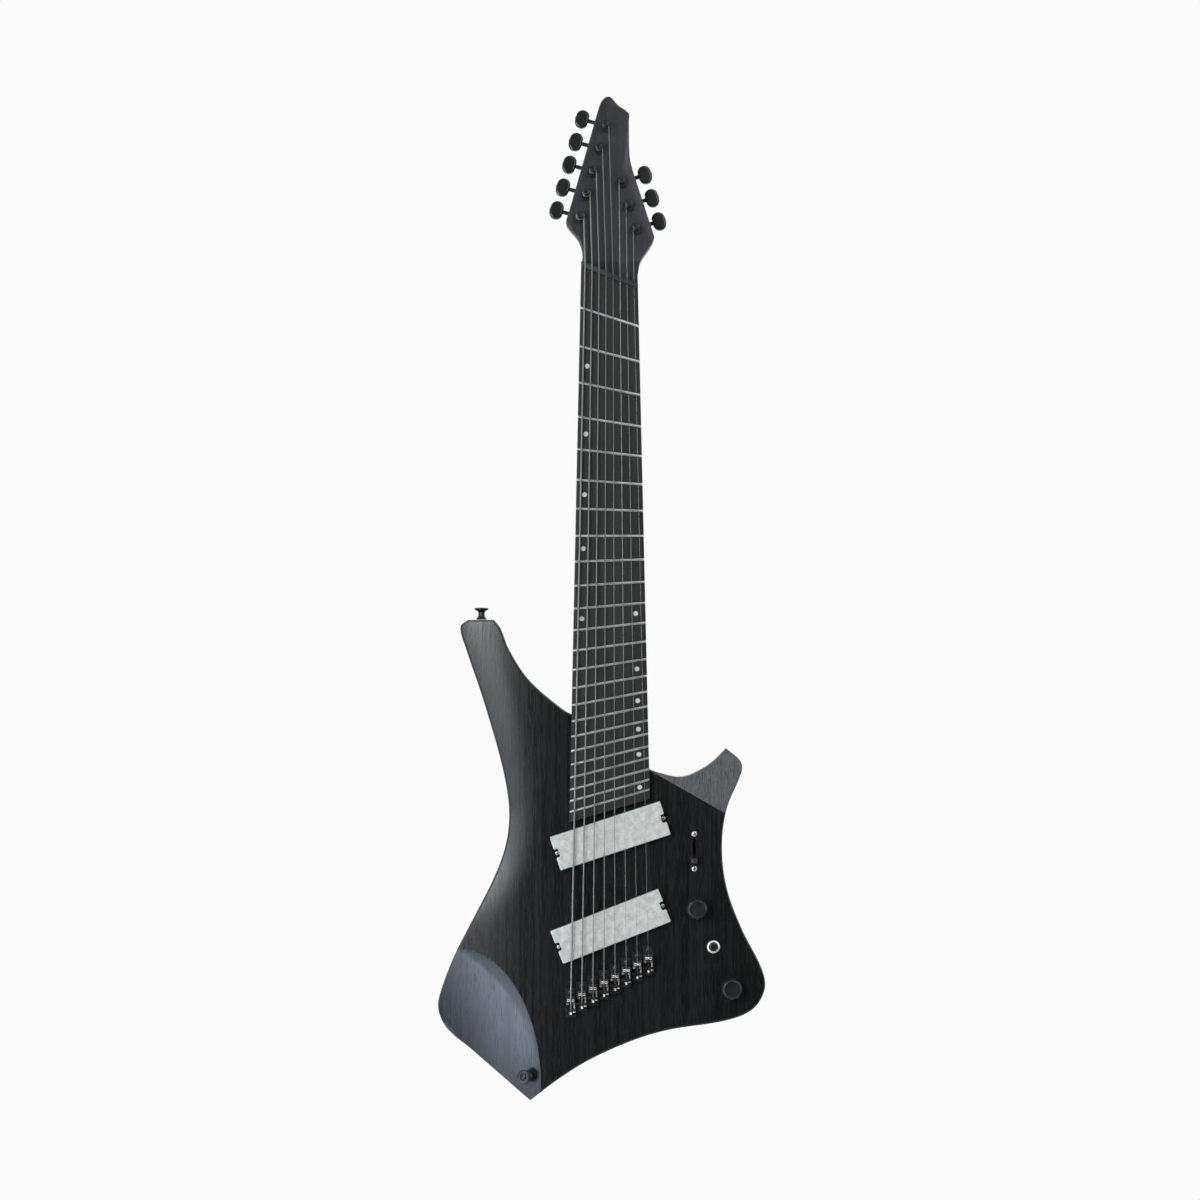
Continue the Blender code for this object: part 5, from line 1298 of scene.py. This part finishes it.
def tuner_pieces():
    long, wide, deep = HOUSING_SIZE
    out, tip = HOUSING_SHIFT
    floor = SHAFT_DEPTH - deep / 2 - 0.25 * MM
    case = softened(block((long, wide, deep), (out, 0, SHAFT_DEPTH)), 1.5 * MM, 4)
    lid = plate(rounded(rectangle(long - 5 * MM, wide - 5 * MM, (out, 0)), 2 * MM), floor,
                SHAFT_DEPTH - deep / 2 + 1 * MM)
    rim_rounded(lid, floor, 0.2 * MM, 2)
    sleeve = turned(((4.7 * MM, HOUSING_TOP - 2 * MM), (4.7 * MM, GAP)), 40)
    washer = turned(((6.2 * MM, GAP / 2), (6.2 * MM, 0.7 * MM), (5.9 * MM, 0.9 * MM)), 48)
    nut = softened(plate(hex_ring(TUNER_NUT_RADIUS), 0.9 * MM, GAP + TUNER_NUT_THICK), 0.35 * MM, 3)
    shoulder, top = GAP + TUNER_NUT_THICK + GAP, POST_HEIGHT
    post = turned([(POST_RADIUS, -HEAD_THICK - 5.2 * MM), (POST_RADIUS, shoulder),
                   *profile((0, 0), (0, 0.8), at=(POST_CAP, shoulder)),
                   *profile((0.3, 1.7), (0, 2.6), at=(POST_WAIST, shoulder)),
                   *profile((0, -2.8), (0.4, -2.2), at=(POST_WAIST, top)),
                   *profile((0, -1.6), (0, -0.9), (-0.3, -0.3), (-0.9, 0), at=(POST_CAP, top)),
                   *profile((1.2, 0), (1.1, -0.5), at=(0, top))], 40)
    hole = turned(profile((0.9, -6), (0.9, 6)), 16)
    cut(post, placed(hole, moved(0, 0, WRAP_TOP - 3.6 * MM) @ spun(pi / 2, "Y")))
    grip_long, grip_wide, thick = BUTTON_SIZE
    grip = plate(rounded(rectangle(grip_long, grip_wide, (TUNER_REACH, 0)), grip_long * 0.49, 10),
                 -thick / 2, thick / 2)
    for face in (thick / 2, -thick / 2):
        rim_rounded(grip, face, 2.4 * MM, 7, 0.6)
    r = TUNER_SHAFT_RADIUS
    stem = turned([*profile((0, -5), (0, 0.6), (1, 0.7), (1, 1.6), (0, 1.7), at=(r, out + long / 2)),
                   *profile((0, -6), (0.9, -5.6), (0.9, 0), at=(r, TUNER_REACH))], 32)
    placed(stem, spun(pi / 2, "Y"))
    screw = cross_screw(1.5 * MM, 0.8 * MM, 24)
    end_screw = cross_screw(1.7 * MM, 0.7 * MM, 24)
    flipped = spun(pi, "X")
    mount = out - long / 2 - 2.6 * MM
    for number, x, y, towards, side in tuner_rows():
        name, turning, button = f"tuner_{number}", f"tuner_post_{number}", f"tuner_button_{number}"
        place = head_matrix() @ moved(x, y, 0) @ spun(towards, "Z")
        shifted = place @ moved(0, side * tip, 0)
        set_in(case, f"{name}_case", shifted, BLACK_METAL, replaces=f"tuner_housing_{number}")
        set_in(lid, f"{name}_lid", shifted, BLACK_METAL)
        for model, part in ((sleeve, "sleeve"), (washer, "washer"), (nut, "nut")):
            set_in(model, f"{name}_{part}", place, BLACK_METAL)
        set_in(screw, f"{name}_lid_screw", shifted @ moved(out, 0, floor) @ flipped, SCREW_METAL)
        set_in(screw, f"{name}_mount_screw", shifted @ moved(mount, 0, HOUSING_TOP) @ flipped, BLACK_METAL)
        set_in(post, f"{name}_post", place, BLACK_METAL, turning, turning)
        shaft = place @ moved(0, side * SHAFT_OFFSET, SHAFT_DEPTH)
        set_in(grip, f"{name}_button", shaft, GLOSS_PLASTIC, button, button)
        set_in(stem, f"{name}_stem", shaft, BLACK_METAL, button)
        at = moved(TUNER_REACH + grip_long / 2 - 0.15 * MM, 0, 0) @ spun(pi / 2, "Y")
        set_in(end_screw, f"{name}_button_screw", shaft @ at, BLACK_METAL, button)


def kept_nodes():
    """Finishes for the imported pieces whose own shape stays."""
    for name, material in (("nut", NUT_FIBRE), ("selector_switch", BLACK_PLASTIC),
                           ("volume_pot", BRIGHT_METAL), ("tone_pot", BRIGHT_METAL)):
        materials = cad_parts[name].data.materials
        materials.clear()
        materials.append(material)


# Camera, light and floor

def soft_box(name, towards, away, size, glow, tint=(1, 1, 1)):
    """Lamp in a direction from the guitar, facing it. Glow 1 looks white in a mirror."""
    place = Vector(LIT_POINT) + Vector(towards).normalized() * away
    bpy.ops.object.light_add(type="AREA", location=place)
    made = bpy.context.object
    made.name = name
    made.data.shape = "RECTANGLE"
    made.data.size, made.data.size_y = size
    made.data.energy = glow * pi * size[0] * size[1]
    made.data.color = tint
    made.rotation_euler = (Vector(LIT_POINT) - place).to_track_quat("-Z", "Y").to_euler()


def surroundings():
    scene = bpy.context.scene
    scene.view_settings.view_transform = "Standard"
    x, z = IMAGE_MIDDLE
    bpy.ops.object.camera_add(location=(x, -FRONT_LEVEL - CAMERA_AWAY, z), rotation=(pi / 2, 0, 0))
    camera = bpy.context.object
    camera.data.sensor_width = SENSOR
    camera.data.lens = SENSOR * CAMERA_AWAY / IMAGE_SPAN
    camera.data.clip_end = 50
    scene.camera = camera

    soft_box("left soft box", (-0.53, -0.82, 0.21), 2.6, (1.15, 1.2), 10.0, (0.93, 0.99, 1.02))
    soft_box("low left soft box", (-0.71, -0.50, -0.495), 1.73, (0.75, 0.75), 7.0, (0.8, 0.93, 1.16))
    soft_box("high soft box", (0.32, -0.77, 0.55), 2.6, (1.0, 1.0), 4.2, (0.9, 0.97, 1.06))
    soft_box("right soft box", (0.94, -0.3, 0.15), 2.4, (0.9, 1.5), 2.4)
    soft_box("back soft box", (0.3, 0.85, 0.4), 2.6, (1.6, 1.6), 2.4)

    world = bpy.data.worlds.new("pale room")
    scene.world = world
    room = Nodes(world, "Background")
    direct, glossy, clear = [room.node("ShaderNodeLightPath", {}, output=f"Is {kind} Ray")
                             for kind in ("Camera", "Glossy", "Transmission")]
    direction = room.node("ShaderNodeTexCoord", {}, output="Generated")
    ahead = room.node("ShaderNodeVectorMath", {"operation": "DOT_PRODUCT"}, direction, (0, -1, 0),
                      output="Value").over(0.35, 0.9)
    mirrored = room.mixed(ahead, ROOM_WHITE, ROOM_DARK)
    unseen = room.mixed(glossy.maths("MAXIMUM", glossy, clear), ROOM_DIM, mirrored)
    room.feed(Color=room.mixed(direct, unseen, ROOM_WHITE))

    bpy.ops.object.select_all(action="DESELECT")
    bpy.ops.mesh.primitive_circle_add(vertices=96, radius=FLOOR_RADIUS, fill_type="NGON",
                                      location=(0, 0, FLOOR_UP))
    floor = applied(bpy.context.object)
    floor.name = "floor"
    floor.data.materials.append(floor_finish())


for build in (body_piece, neck_piece, board_piece, fret_pieces, dot_pieces, pickup_pieces, bridge_pieces,
              string_pieces, knob_pieces, kill_pieces, selector_pieces, cover_pieces, door_pieces,
              bolt_pieces, jack_pieces, battery_pieces, strap_pieces, tuner_pieces):
    build()
for model in MODELS.values():
    bpy.data.objects.remove(model)
kept_nodes()
surroundings()
